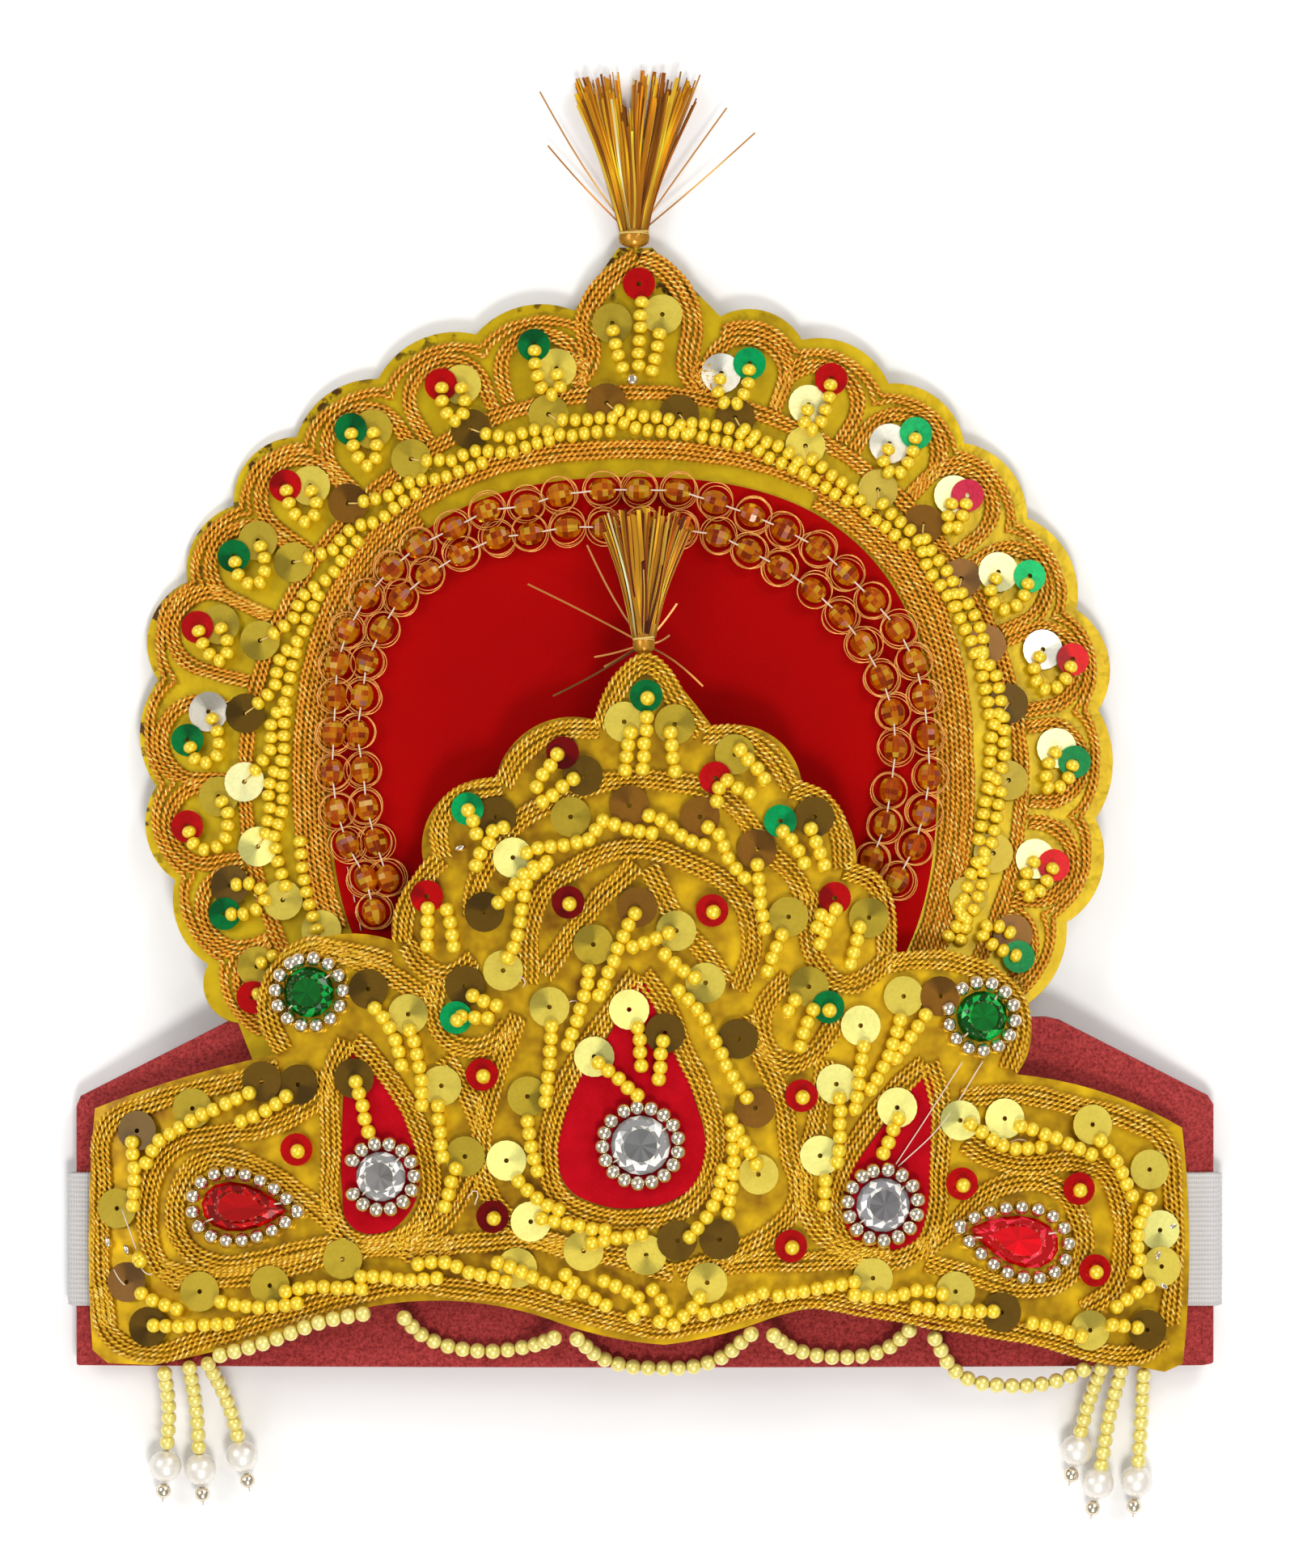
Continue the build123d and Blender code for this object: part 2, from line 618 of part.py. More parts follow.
def cut_stone(outline, table):
    """Flat-backed stone: a girdle, one ring of facets and a table."""
    girdle = extrude(outline, amount=STONE_GIRDLE)
    crown = loft([Pos(0, 0, STONE_GIRDLE) * outline, Pos(0, 0, STONE_HIGH) * table], ruled=True)
    return girdle + crown


def ring_tube(points, lift):
    """Open loop of silver beads round a stone, drawn as a tube."""
    return tube([(x, y, lift) for x, y in points], SILVER_BEAD)


stone_lifts = {True: 2 * SEAM + DROP_VELVET, False: SEAM}
stones = {}
stone_keepouts = []
for name, place, radius, on_velvet in ROUND_STONES:
    seat = on_front(place, stone_lifts[on_velvet])
    outline = RegularPolygon(radius, STONE_SIDES)
    table = RegularPolygon(radius * STONE_TABLE, STONE_SIDES)
    stones[name + "_stone"] = seat * cut_stone(outline, table)
    ring_radius = radius + RING_TO_STONE + SILVER_BEAD / 2
    loop = CenterArc((0, 0, SILVER_BEAD / 2), ring_radius, RING_START, RING_SWEEP)
    start = Plane(origin=loop @ 0, z_dir=loop % 0)
    stones[name + "_beads"] = seat * sweep(start * Circle(SILVER_BEAD / 2), path=loop)
    stone_keepouts.append(Pos(*front_at(place)) * Circle(ring_radius + SILVER_BEAD / 2 + FIT))
for name, place, length, width, turn in DROP_STONES:
    seat = on_front(place, stone_lifts[False]) * Rot(0, 0, turn)
    outline = Polygon(*pear(length, width), align=None)
    table = Polygon(*pear(length * STONE_TABLE, width * STONE_TABLE), align=None)
    stones[name + "_stone"] = seat * cut_stone(outline, table)
    ring = grown_pear(length, width, 2 * RING_TO_STONE + SILVER_BEAD)
    stones[name + "_beads"] = seat * ring_tube(ring[1::2], SILVER_BEAD / 2)
    keepout = Polygon(*grown_pear(length, width, 2 * RING_TO_STONE + 2 * SILVER_BEAD), align=None)
    stone_keepouts.append(Pos(*front_at(place)) * Rot(0, 0, turn) * keepout)
keepouts = joined(stone_keepouts)

# Velvet drops
drop_outlines = {}
for name, apex, left_side, left, foot, right, right_side in VELVET_DROPS:
    apex, left_side, left, foot, right, right_side = [
        front_at(place) for place in (apex, left_side, left, foot, right, right_side)
    ]
    drop_outlines[name] = make_face(
        Curve() + [
            ThreePointArc(apex, left_side, left),
            ThreePointArc(left, foot, right),
            ThreePointArc(right, right_side, apex),
        ]
    )
velvet_drops = {
    name: on_front_card(outline, SEAM, SEAM + DROP_VELVET) for name, outline in drop_outlines.items()
}


# Cord: along the plate's edge, round each drop and drop stone, and over the brow in an arch and a tent
def ribbon(places, width):
    """Flat ribbon of a given width along a route on the brow plate."""
    points = [front_at(place) for place in places]
    return trace(route(points), width)


edge_cord = offset(front_outline, -CORD_MARGIN) - offset(front_outline, -CORD_MARGIN - CORD_WIDTH)
drop_cords = [offset(outline, FIT + CORD_WIDTH) for outline in drop_outlines.values()]
paisleys = [offset(outline, CORD_WIDTH) for outline in stone_keepouts[-2:]]
front_cord_region = edge_cord + joined(drop_cords) + joined(paisleys)
for places in CORD_ROUTES:
    front_cord_region = front_cord_region + ribbon(places, CORD_WIDTH)
for outline in drop_outlines.values():
    front_cord_region = front_cord_region - offset(outline, FIT)
front_cord_region = (front_cord_region - keepouts) & offset(front_outline, -CORD_MARGIN)
front_cords = on_front_card(front_cord_region, SEAM, SEAM + CORD_HIGH)


def pearl_field(strings):
    """Sewn pearl strings of one region, joined where they cross."""
    region = joined([ribbon(places, width) for places, width in strings])
    return on_front_card(region - keepouts, STRING_LIFT, STRING_LIFT + STRING_HIGH)


front_band_pearls = pearl_field(BAND_STRINGS)
front_centre_pearls = pearl_field(CENTRE_STRINGS)
front_side_pearls = pearl_field(SIDE_STRINGS)
front_gold_sequins = on_front_card(
    joined([sequin(front_at(place), GOLD_SEQUIN) for place in FRONT_GOLD_SEQUINS]),
    GOLD_SEQUIN_LIFT,
    GOLD_SEQUIN_LIFT + SEQUIN_THICK,
)
over_gold = joined([sequin(front_at(place), COLOUR_SEQUIN) for place, over in FRONT_COLOUR_SEQUINS if over])
alone = joined([sequin(front_at(place), COLOUR_SEQUIN) for place, over in FRONT_COLOUR_SEQUINS if not over])
front_colour_sequins = Compound(
    children=[
        on_front_card(over_gold, COLOUR_SEQUIN_LIFT, COLOUR_SEQUIN_LIFT + SEQUIN_THICK),
        on_front_card(alone, GOLD_SEQUIN_LIFT, GOLD_SEQUIN_LIFT + SEQUIN_THICK),
    ]
)

# Swags: the first on the plate's edge, the others from the edge down on to the band
swags = []
edge_lift = FRONT_CARD + SEAM + CORD_HIGH + SEAM + SWAG_PEARL / 2
edge_points = []
for place in EDGE_SWAG:
    x, y = front_at(place)
    edge_points.append((x, y, arch_z(front_arch, x, edge_lift)))
swags.append(tube(edge_points, SWAG_PEARL))
for places in HUNG_SWAGS:
    points = []
    for index, place in enumerate(places):
        x, y = front_at(place)
        hung_z = arch_z(front_arch, x, FRONT_CARD / 2)
        rest_z = arch_z(band_arch, x, BAND_CARD + FIT + SWAG_PEARL / 2)
        at_end = index in (0, len(places) - 1)
        points.append((x, y, hung_z if at_end else rest_z))
    swags.append(tube(points, SWAG_PEARL))


# Tassels: a pearl string from the plate's lower edge, then a large pearl and an end bead on its thread
def drilled(centre, along, diameter):
    """Round bead with its bore along a direction."""
    bore = Cylinder(BEAD_BORE / 2, 2 * diameter)
    return Plane(origin=centre, z_dir=along) * (Sphere(diameter / 2) - bore)


def lower_edge_y(x):
    """Where the brow plate's lower edge passes x."""
    upright = Line((x, -REACH), (x, 0)) & front_outline
    return upright.vertices().sort_by(Axis.Y)[0].Y


tassels = {}
for name, across, bend, low, end in TASSELS:
    top_x = front_at((across, PHOTO_CUSP))[0]
    top_y = lower_edge_y(top_x) - 2 * FIT
    top_z = arch_z(front_arch, top_x, FRONT_CARD / 2)
    low_point = Vector(*front_at(low), TASSEL_REST_Z)
    end_point = Vector(*front_at(end), END_BEAD_Z)
    bend_point = (*front_at(bend), (top_z + 2 * TASSEL_REST_Z) / 3)
    string = tube([(top_x, top_y, top_z), bend_point, tuple(low_point)], TASSEL_PEARL)
    along = (end_point - low_point).normalized()
    pearl_at = low_point + along * (FIT + LARGE_PEARL / 2)
    bead_at = pearl_at + along * (FIT + LARGE_PEARL / 2 + END_BEAD / 2)
    thread_length = (bead_at - low_point).length + END_BEAD / 2 + 2 * FIT
    thread = Plane(origin=low_point - along * FIT, z_dir=along) * Pos(0, 0, thread_length / 2) * (
        Cylinder(THREAD / 2, thread_length)
    )
    tassels[name + "_tassel_string"] = string + thread
    tassels[name + "_tassel_pearl"] = drilled(pearl_at, along, LARGE_PEARL)
    tassels[name + "_tassel_end_bead"] = drilled(bead_at, along, END_BEAD)


# Plumes: tinsel locks fanned out of a wire binding
def plume(root, fall, locks, length):
    """Locks and binding of a plume whose binding starts at root and whose tips sink by fall degrees."""
    binding = Cylinder(BINDING_CORE, BINDING_LENGTH)
    for step in (-1, 0, 1):
        wrap = Torus(BINDING_RADIUS - WRAP_WIRE, WRAP_WIRE)
        binding = binding + Pos(0, 0, step * (BINDING_LENGTH / 2 - WRAP_WIRE)) * wrap
    whole = Pos(0, BINDING_LENGTH / 2, 0) * Rot(-90, 0, 0) * binding
    for angle, length_share, tip_share in locks:
        reach = length * length_share
        sections = []
        for share, width in ((0.0, LOCK_ROOT), (LOCK_WAIST_SHARE, LOCK_WAIST), (1.0, LOCK_TIP * tip_share)):
            shape = Ellipse(width, LOCK_FLAT * width + LOCK_EDGE)
            sections.append(Pos(0, 0, reach * share) * shape)
        lock = loft(sections)
        whole = whole + Pos(0, BINDING_LENGTH - LOCK_SUNK, 0) * Rot(0, 0, -angle) * Rot(-90, 0, 0) * lock
    return Pos(*root) * Rot(-fall, 0, 0) * whole


def card_edge(place, x, y, z):
    """Position of a card's point once the card is placed."""
    return (place * Pos(x, y, z)).position


halo_peak_z = arch_z(halo_arch, HALO_X, HALO_CARD / 2)
halo_peak = card_edge(halo_place, HALO_X + HALO_PEAK_SHIFT, HALO_PEAK_HEIGHT, halo_peak_z)
top_root = (halo_peak.X, halo_peak.Y + FIT, BINDING_RADIUS + FIT)
plume_top = plume(top_root, TOP_PLUME_FALL, TOP_LOCKS, TOP_PLUME_LENGTH)
front_peak_x, front_peak_y = front_at(FRONT_PEAK)
front_root = (front_peak_x, front_peak_y + 2 * FIT, arch_z(front_arch, front_peak_x, FRONT_CARD / 2))

# The front plume lies over the bead lace, clear of its inner edge
lace_edge_y = HALO_Y + field_radius(90, -2 * LACE_INSET - 2 * LACE_WIDTH)
lace_top_z = arch_z(halo_arch, front_peak_x, HALO_CARD + lace_floor + LACE_HIGH)
lace_edge = card_edge(halo_place, front_peak_x, lace_edge_y, lace_top_z)
plume_drop = front_root[2] - lace_edge.Z - LOCK_FLAT * LOCK_TIP - LOCK_EDGE - PLUME_OVER_LACE
front_fall = degrees(atan2(plume_drop, lace_edge.Y - front_root[1]))
plume_front = plume(front_root, front_fall, FRONT_LOCKS, FRONT_PLUME_LENGTH)

# One file for each piece
pieces = {
    "band_lining": band_lining,
    "elastic_strap": elastic_strap,
    "halo_plate": halo_plate,
    "halo_velvet": halo_velvet,
    "halo_cords": halo_cords,
    "halo_pearl_rows": halo_pearl_rows,
    "bead_lace": bead_lace,
    "halo_gold_sequins": halo_gold_sequins,
    "halo_colour_sequins": halo_colour_sequins,
    "front_plate": front_plate,
    "front_cords": front_cords,
    "front_band_pearls": front_band_pearls,
    "front_centre_pearls": front_centre_pearls,
    "front_side_pearls": front_side_pearls,
    "front_gold_sequins": front_gold_sequins,
    "front_colour_sequins": front_colour_sequins,
    "plume_top": plume_top,
    "plume_front": plume_front,
}
pieces.update(velvet_drops)
pieces.update(stones)
pieces.update(tassels)
for index, swag in enumerate(swags):
    pieces[f"pearl_swag_{index + 1}"] = swag

os.makedirs("parts", exist_ok=True)
for name, piece in pieces.items():
    export_step(piece, f"parts/{name}.step")
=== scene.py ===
import math
import random

import bmesh
import bpy
import numpy as np
from mathutils import Matrix, Vector, noise


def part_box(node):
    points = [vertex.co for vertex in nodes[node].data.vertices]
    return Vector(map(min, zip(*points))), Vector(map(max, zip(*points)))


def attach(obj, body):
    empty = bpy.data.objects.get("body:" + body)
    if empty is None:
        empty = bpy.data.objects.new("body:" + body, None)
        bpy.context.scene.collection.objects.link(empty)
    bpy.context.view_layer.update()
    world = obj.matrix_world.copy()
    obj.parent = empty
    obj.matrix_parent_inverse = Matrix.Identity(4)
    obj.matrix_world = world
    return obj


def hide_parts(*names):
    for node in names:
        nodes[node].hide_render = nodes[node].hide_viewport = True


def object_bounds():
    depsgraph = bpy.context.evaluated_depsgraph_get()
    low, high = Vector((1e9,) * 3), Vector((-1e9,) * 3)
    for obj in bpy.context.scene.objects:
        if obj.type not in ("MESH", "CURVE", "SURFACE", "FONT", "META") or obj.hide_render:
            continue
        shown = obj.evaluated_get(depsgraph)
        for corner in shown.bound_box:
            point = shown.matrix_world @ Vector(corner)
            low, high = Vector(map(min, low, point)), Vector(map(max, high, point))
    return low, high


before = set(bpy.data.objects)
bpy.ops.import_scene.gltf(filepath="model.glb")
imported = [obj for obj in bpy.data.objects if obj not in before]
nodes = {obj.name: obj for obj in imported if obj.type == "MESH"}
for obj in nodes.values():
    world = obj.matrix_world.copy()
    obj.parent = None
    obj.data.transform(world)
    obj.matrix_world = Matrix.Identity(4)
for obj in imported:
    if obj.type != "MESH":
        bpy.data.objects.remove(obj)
cad_box = [list(corner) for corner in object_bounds()]

# Camera, floor and light: the crown lies on its back on a pale table and is seen from straight above,
# through a long lens. Lengths are in millimetres until a point is made, and MM turns them into metres.
MM = 0.001
PHOTO_SCALE = 6.56
PHOTO_ZERO = (797.5, 977.5)
PHOTO_CENTRE = (800.0, 969.5)
PHOTO_LONG_SIDE = 1939.0
CAMERA_HEIGHT = 3000.0
CAMERA_FOCUS_HEIGHT = 10.0
CAMERA_SEES = 20.0
SENSOR = 36.0
FLOOR_SIZE = 6.0
FLOOR_GREY = (0.93, 0.93, 0.93, 1.0)
WHITE = (1.0, 1.0, 1.0, 1.0)
WARM_WHITE = (1.0, 0.98, 0.95, 1.0)
ROOM_LIGHT = 0.38
LIGHTS = (
    # name, place, width and height, watts, colour
    ("lamp", (0.12, -0.78, 1.35), (0.36, 0.36), 10.5, WARM_WHITE),
    ("key", (0.75, 0.85, 0.9), (0.6, 0.6), 7.0, WARM_WHITE),
    ("window", (0.62, 0.33, 1.45), (0.26, 0.5), 1.6, WHITE),
    ("fill", (-1.0, 0.3, 0.9), (0.7, 0.7), 6.0, WHITE),
    ("low_fill", (0.1, -1.1, 0.8), (0.6, 0.4), 3.0, WHITE),
)


def across_up(place):
    """Millimetres across and up the crown for a place in the photograph."""
    return (place[0] - PHOTO_ZERO[0]) / PHOTO_SCALE, (PHOTO_ZERO[1] - place[1]) / PHOTO_SCALE


def finish_of(name, colour, roughness=0.5, metallic=0.0, **sockets):
    """New material with one Principled shader."""
    made = bpy.data.materials.new(name)
    made.use_nodes = True
    shader = made.node_tree.nodes["Principled BSDF"]
    shader.inputs["Base Color"].default_value = colour
    shader.inputs["Roughness"].default_value = roughness
    shader.inputs["Metallic"].default_value = metallic
    for socket, value in sockets.items():
        shader.inputs[socket.replace("_", " ")].default_value = value
    return made


camera_data = bpy.data.cameras.new("camera")
camera = bpy.data.objects.new("camera", camera_data)
bpy.context.scene.collection.objects.link(camera)
bpy.context.scene.camera = camera
centre_x, centre_y = across_up(PHOTO_CENTRE)
camera.location = (centre_x * MM, centre_y * MM, CAMERA_HEIGHT * MM)
camera_data.sensor_width = SENSOR
camera_data.lens = SENSOR * (CAMERA_HEIGHT - CAMERA_FOCUS_HEIGHT) / (PHOTO_LONG_SIDE / PHOTO_SCALE)
camera_data.clip_end = CAMERA_SEES

bpy.ops.mesh.primitive_plane_add(size=FLOOR_SIZE)
floor = bpy.context.object
floor.name = "floor"
floor.data.materials.append(finish_of("pale_floor", FLOOR_GREY, 0.8))
floor.location.z = cad_box[0][2]

for name, place, size, watts, colour in LIGHTS:
    softbox = bpy.data.lights.new(name, "AREA")
    softbox.shape = "RECTANGLE"
    softbox.size, softbox.size_y = size
    softbox.energy = watts
    softbox.color = colour[:3]
    light = bpy.data.objects.new(name, softbox)
    bpy.context.scene.collection.objects.link(light)
    light.location = place
    light.rotation_euler = Vector(place).to_track_quat("Z", "Y").to_euler()
room = bpy.data.worlds.new("studio")
bpy.context.scene.world = room
room.use_nodes = True
room.node_tree.nodes["Background"].inputs["Color"].default_value = WHITE
room.node_tree.nodes["Background"].inputs["Strength"].default_value = ROOM_LIGHT
bpy.context.scene.view_settings.view_transform = "Standard"

# Band lining: a strip of card flocked brick red, with worn rounded edges, arched over the forehead. It is made
# as a laid sheet in place of its plain solid, and its two ends carry the elastic.
BAND_SPAN = 215.0
BAND_RISE = 12.0
BAND_LOW = 1.5
BAND_CARD = 1.8
BAND_RINGS = 10
BAND_EDGE_STOPS = 220
BAND_CORNERS = ((92.3, 1689.9), (1502.7, 1689.9), (1502.7, 1358.6), (1302.6, 1257.0), (292.4, 1257.0), (92.3, 1358.6))
FIT = 0.3
BROAD_DETAIL = 6.0
FINE_DETAIL = 2.0
MOTTLE_REACH = 0.45
RIPPLE_LONG = 60.0
WORN_EDGE = 0.25


def arch_radius(span, rise):
    """Radius of a card's back face that rises by rise over its span."""
    return (span * span / 4 + rise * rise) / (2 * rise)


def arch_height(x, radius, top, lift):
    """Height above the floor of the surface that lies lift above an arched card's back."""
    return top - radius + math.sqrt((radius + lift) ** 2 - x * x)


BAND_RADIUS = arch_radius(BAND_SPAN, BAND_RISE)


def band_height(x, lift=0.0):
    """Height of a point that lies lift above the band's face."""
    return arch_height(x, BAND_RADIUS, BAND_LOW + BAND_RISE, BAND_CARD + lift)


def on_band(place, lift):
    """Point at a place in the photograph, lift above the band's face."""
    x, y = across_up(place)
    return Vector((x, y, band_height(x, lift))) * MM


def linear(red, green, blue):
    """Scene colour of a screen colour."""
    return tuple((channel / 255) ** 2.2 for channel in (red, green, blue)) + (1.0,)


def wired(tree, kind, inputs=None, **settings):
    """New shader node, whose inputs are set to values or joined to other nodes' outputs."""
    made = tree.nodes.new(kind)
    for setting, value in settings.items():
        setattr(made, setting, value)
    for socket, value in (inputs or {}).items():
        if isinstance(value, bpy.types.NodeSocket):
            tree.links.new(value, made.inputs[socket])
        else:
            made.inputs[socket].default_value = value
    return made


def reckoned(tree, operation, first, second):
    """Result of two values, by a Math node."""
    return wired(tree, "ShaderNodeMath", {0: first, 1: second}, operation=operation).outputs[0]


def ranged(tree, value, low, high):
    """Mask that goes from none to full as a value goes from low to high."""
    return wired(tree, "ShaderNodeMapRange", {"Value": value, "From Min": low, "From Max": high}).outputs["Result"]


def speckle(tree, places, scale, detail):
    """Noise over the piece."""
    return wired(tree, "ShaderNodeTexNoise", {"Vector": places, "Scale": scale, "Detail": detail}).outputs["Fac"]


def feed(made, socket, output):
    """Joins a node's output to a socket of a material's shader."""
    made.node_tree.links.new(output, made.node_tree.nodes["Principled BSDF"].inputs[socket])


MOTTLE = bpy.data.node_groups.new("mottle", "ShaderNodeTree")
for name, kind, value in (
    ("Light", "NodeSocketColor", (1, 1, 1, 1)),
    ("Dark", "NodeSocketColor", (0, 0, 0, 1)),
    ("Scale", "NodeSocketFloat", 400.0),
    ("Grain", "NodeSocketFloat", 4000.0),
    ("Contrast", "NodeSocketFloat", 1.0),
):
    MOTTLE.interface.new_socket(name, in_out="INPUT", socket_type=kind).default_value = value
MOTTLE.interface.new_socket("Colour", in_out="OUTPUT", socket_type="NodeSocketColor")
MOTTLE.interface.new_socket("Height", in_out="OUTPUT", socket_type="NodeSocketFloat")
given = wired(MOTTLE, "NodeGroupInput").outputs
places = wired(MOTTLE, "ShaderNodeTexCoord").outputs["Object"]
both = reckoned(MOTTLE, "ADD", speckle(MOTTLE, places, given["Scale"], BROAD_DETAIL),
                speckle(MOTTLE, places, given["Grain"], FINE_DETAIL))
reach = reckoned(MOTTLE, "DIVIDE", MOTTLE_REACH, given["Contrast"])
share = ranged(MOTTLE, both, reckoned(MOTTLE, "SUBTRACT", 1.0, reach), reckoned(MOTTLE, "ADD", 1.0, reach))
blend = wired(MOTTLE, "ShaderNodeMix", {"Factor": share, "A": given["Dark"], "B": given["Light"]}, data_type="RGBA")
wired(MOTTLE, "NodeGroupOutput", {"Colour": blend.outputs["Result"], "Height": both})


def mottled(made, light, dark, scale, grain, contrast=1.0, bump=0.2, depth=0.05):
    """Gives a material its colour and bump from the mottle group."""
    tree = made.node_tree
    given = {"Light": light, "Dark": dark, "Scale": scale, "Grain": grain, "Contrast": contrast}
    patches = wired(tree, "ShaderNodeGroup", given, node_tree=MOTTLE).outputs
    raised = wired(tree, "ShaderNodeBump", {"Strength": bump, "Distance": depth * MM, "Height": patches["Height"]})
    feed(made, "Base Color", patches["Colour"])
    feed(made, "Normal", raised.outputs["Normal"])
    return made


def stops_on(line, step=None, count=None, closed=False):
    """Evenly spaced stops on a line, by their spacing or their number."""
    line = np.array(line, dtype=float)
    if closed:
        line = np.vstack((line, line[:1]))
    runs = np.concatenate(([0.0], np.cumsum(np.linalg.norm(np.diff(line, axis=0), axis=1))))
    if count is None:
        count = max(2, int(runs[-1] / step) + 1)
        marks = (runs[-1] - (count - 1) * step) / 2 + step * np.arange(count)
    else:
        marks = np.linspace(0.0, runs[-1], count, endpoint=not closed)
    return np.stack([np.interp(marks, runs, line[:, axis]) for axis in range(line.shape[1])], axis=1)


def begun(primitive, name, **settings):
    """New piece from one of Blender's primitives, alone in the selection."""
    bpy.ops.object.select_all(action="DESELECT")
    primitive(**settings)
    bpy.context.object.name = name
    return bpy.context.object


def open_all():
    """Goes into edit mode with the whole piece selected."""
    bpy.ops.object.mode_set(mode="EDIT")
    bpy.ops.mesh.select_all(action="SELECT")


def close():
    """Goes back to object mode."""
    bpy.ops.object.mode_set(mode="OBJECT")


def with_modifier(piece, kind, **settings):
    """Adds a modifier to a piece and applies it."""
    modifier = piece.modifiers.new(kind.lower(), kind)
    for setting, value in settings.items():
        setattr(modifier, setting, value)
    bpy.ops.object.modifier_apply(modifier=modifier.name)


def settle(piece, finish, stands_for=()):
    """Finishes a piece, lets it ride on the crown, and hides the plain nodes that it stands for."""
    piece.data.materials.clear()
    piece.data.materials.append(finish)
    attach(piece, "root")
    if stands_for:
        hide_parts(*stands_for)
    return piece


def laid_patch(name, outline, ground, lift, thickness, rings, ripple=0.0):
    """Sheet cut to an outline and laid on a ground: a disc inset ring by ring, then pulled out to the outline."""
    count = len(outline)
    patch = begun(bpy.ops.mesh.primitive_circle_add, name, vertices=count, radius=1.0, fill_type="NGON")
    open_all()
    for _ in range(rings):
        bpy.ops.mesh.inset(thickness=1.0 / (rings + 1))
    bpy.ops.mesh.poke()
    close()
    middle = outline.mean(axis=0)
    for corner in patch.data.vertices:
        share = min(1.0, math.hypot(corner.co.x, corner.co.y))
        turn = math.atan2(corner.co.y, corner.co.x) / math.tau * count
        place = middle + (outline[round(turn) % count] - middle) * share
        wave = ripple * noise.noise(Vector((place[0] / RIPPLE_LONG, place[1] / RIPPLE_LONG, lift)))
        corner.co = ground(place, lift + thickness + wave)
    open_all()
    bpy.ops.mesh.remove_doubles(threshold=0.01 * MM)
    close()
    if sum(side.normal.z for side in patch.data.polygons) < 0:
        patch.data.flip_normals()
    area = sum(side.area for side in patch.data.polygons)
    with_modifier(patch, "SOLIDIFY", thickness=thickness * MM, offset=-1.0)
    with_modifier(patch, "BEVEL", width=WORN_EDGE * thickness * MM, segments=2, angle_limit=math.radians(50))
    bpy.ops.object.shade_smooth_by_angle(angle=math.radians(40))
    return patch, area


flock = finish_of("red_flock", linear(152, 36, 42), 0.95, Sheen_Weight=0.15, Sheen_Roughness=0.5)
mottled(flock, linear(176, 60, 58), linear(114, 16, 20), 1300.0, 2200.0, 1.6, 0.6, 0.15)
band_outline = stops_on(BAND_CORNERS, count=BAND_EDGE_STOPS, closed=True)
lining, _ = laid_patch("flocked_lining", band_outline, on_band, -BAND_CARD, BAND_CARD, BAND_RINGS)
settle(lining, flock, ["band_lining"])

# Elastic: a flat white woven strap with fine ribs along it. It is stitched in over the lining's two ends, folded
# round them and goes straight across behind.
STRAP_WIDTH = 25.0
STRAP_Y = -84.7
STRAP_THICK = 1.2
STRAP_TUCK = 11.7
STRAP_STEP = 1.1
STRAP_RIBS = 25
RIB_HEIGHT = 0.16
RIB_WAVER = 0.05
WEAVE_ACROSS = 2.0
WEAVE_ALONG = 1.1
WEAVE_WAVER = 0.4
WEAVE_BUMP = 0.9
WEAVE_DEPTH = 0.2


def drawn_through(points, closed=False):
    """Points of a smooth curve through some points, as rows of an array."""
    data = bpy.data.curves.new("guide", "CURVE")
    data.dimensions = "3D"
    data.resolution_u = 10
    spline = data.splines.new("BEZIER")
    spline.bezier_points.add(len(points) - 1)
    spline.use_cyclic_u = closed
    for knot, point in zip(spline.bezier_points, points):
        knot.co = (*point, 0.0)[:3]
        knot.handle_left_type = knot.handle_right_type = "AUTO"
    guide = bpy.data.objects.new("guide", data)
    mesh = bpy.data.meshes.new_from_object(guide)
    line = np.array([corner.co for corner in mesh.vertices])
    bpy.data.objects.remove(guide)
    bpy.data.curves.remove(data)
    bpy.data.meshes.remove(mesh)
    return line


def headings(line):
    """Direction of a line at each of its points."""
    run = np.gradient(line, axis=0)
    return run / np.linalg.norm(run, axis=1)[:, None]


# The strap's white is painted down to a light grey all over: painted shade.
elastic = finish_of("white_elastic", linear(202, 199, 198), 0.85, Sheen_Weight=0.2)
tree = elastic.node_tree
places = wired(tree, "ShaderNodeTexCoord").outputs["Object"]
across, along = [
    wired(tree, "ShaderNodeTexWave", {"Vector": places, "Scale": threads / MM * math.tau / 20,
                                      "Distortion": WEAVE_WAVER}, bands_direction=axis).outputs["Fac"]
    for axis, threads in (("X", WEAVE_ACROSS), ("Y", WEAVE_ALONG))
]
weave = wired(tree, "ShaderNodeBump", {"Strength": WEAVE_BUMP, "Distance": WEAVE_DEPTH * MM,
                                       "Height": reckoned(tree, "MULTIPLY", across, along)})
feed(elastic, "Normal", weave.outputs["Normal"])

half_band = BAND_SPAN / 2
fold_x = half_band + FIT + STRAP_THICK / 2
fold_z = band_height(half_band, FIT + STRAP_THICK / 2)
tuck_z = band_height(half_band - STRAP_TUCK, FIT + STRAP_THICK / 2)
strap_half = [(0.0, 0.0, 0.6), (60.0, 0.0, 0.6), (104.0, 0.0, 0.6), (107.4, 0.0, 0.75), (fold_x, 0.0, 1.5),
              (fold_x, 0.0, fold_z - 1.2), (fold_x - 0.9, 0.0, fold_z - 0.1), (104.0, 0.0, fold_z + 0.62),
              (half_band - STRAP_TUCK, 0.0, tuck_z)]
strap_line = stops_on(drawn_through([(-x, y, z) for x, y, z in reversed(strap_half[1:])] + strap_half), STRAP_STEP)
strap_run = headings(strap_line)
strap = begun(bpy.ops.mesh.primitive_grid_add, "elastic_back_strap", x_subdivisions=len(strap_line) - 1,
              y_subdivisions=2 * STRAP_RIBS, size=1.0)
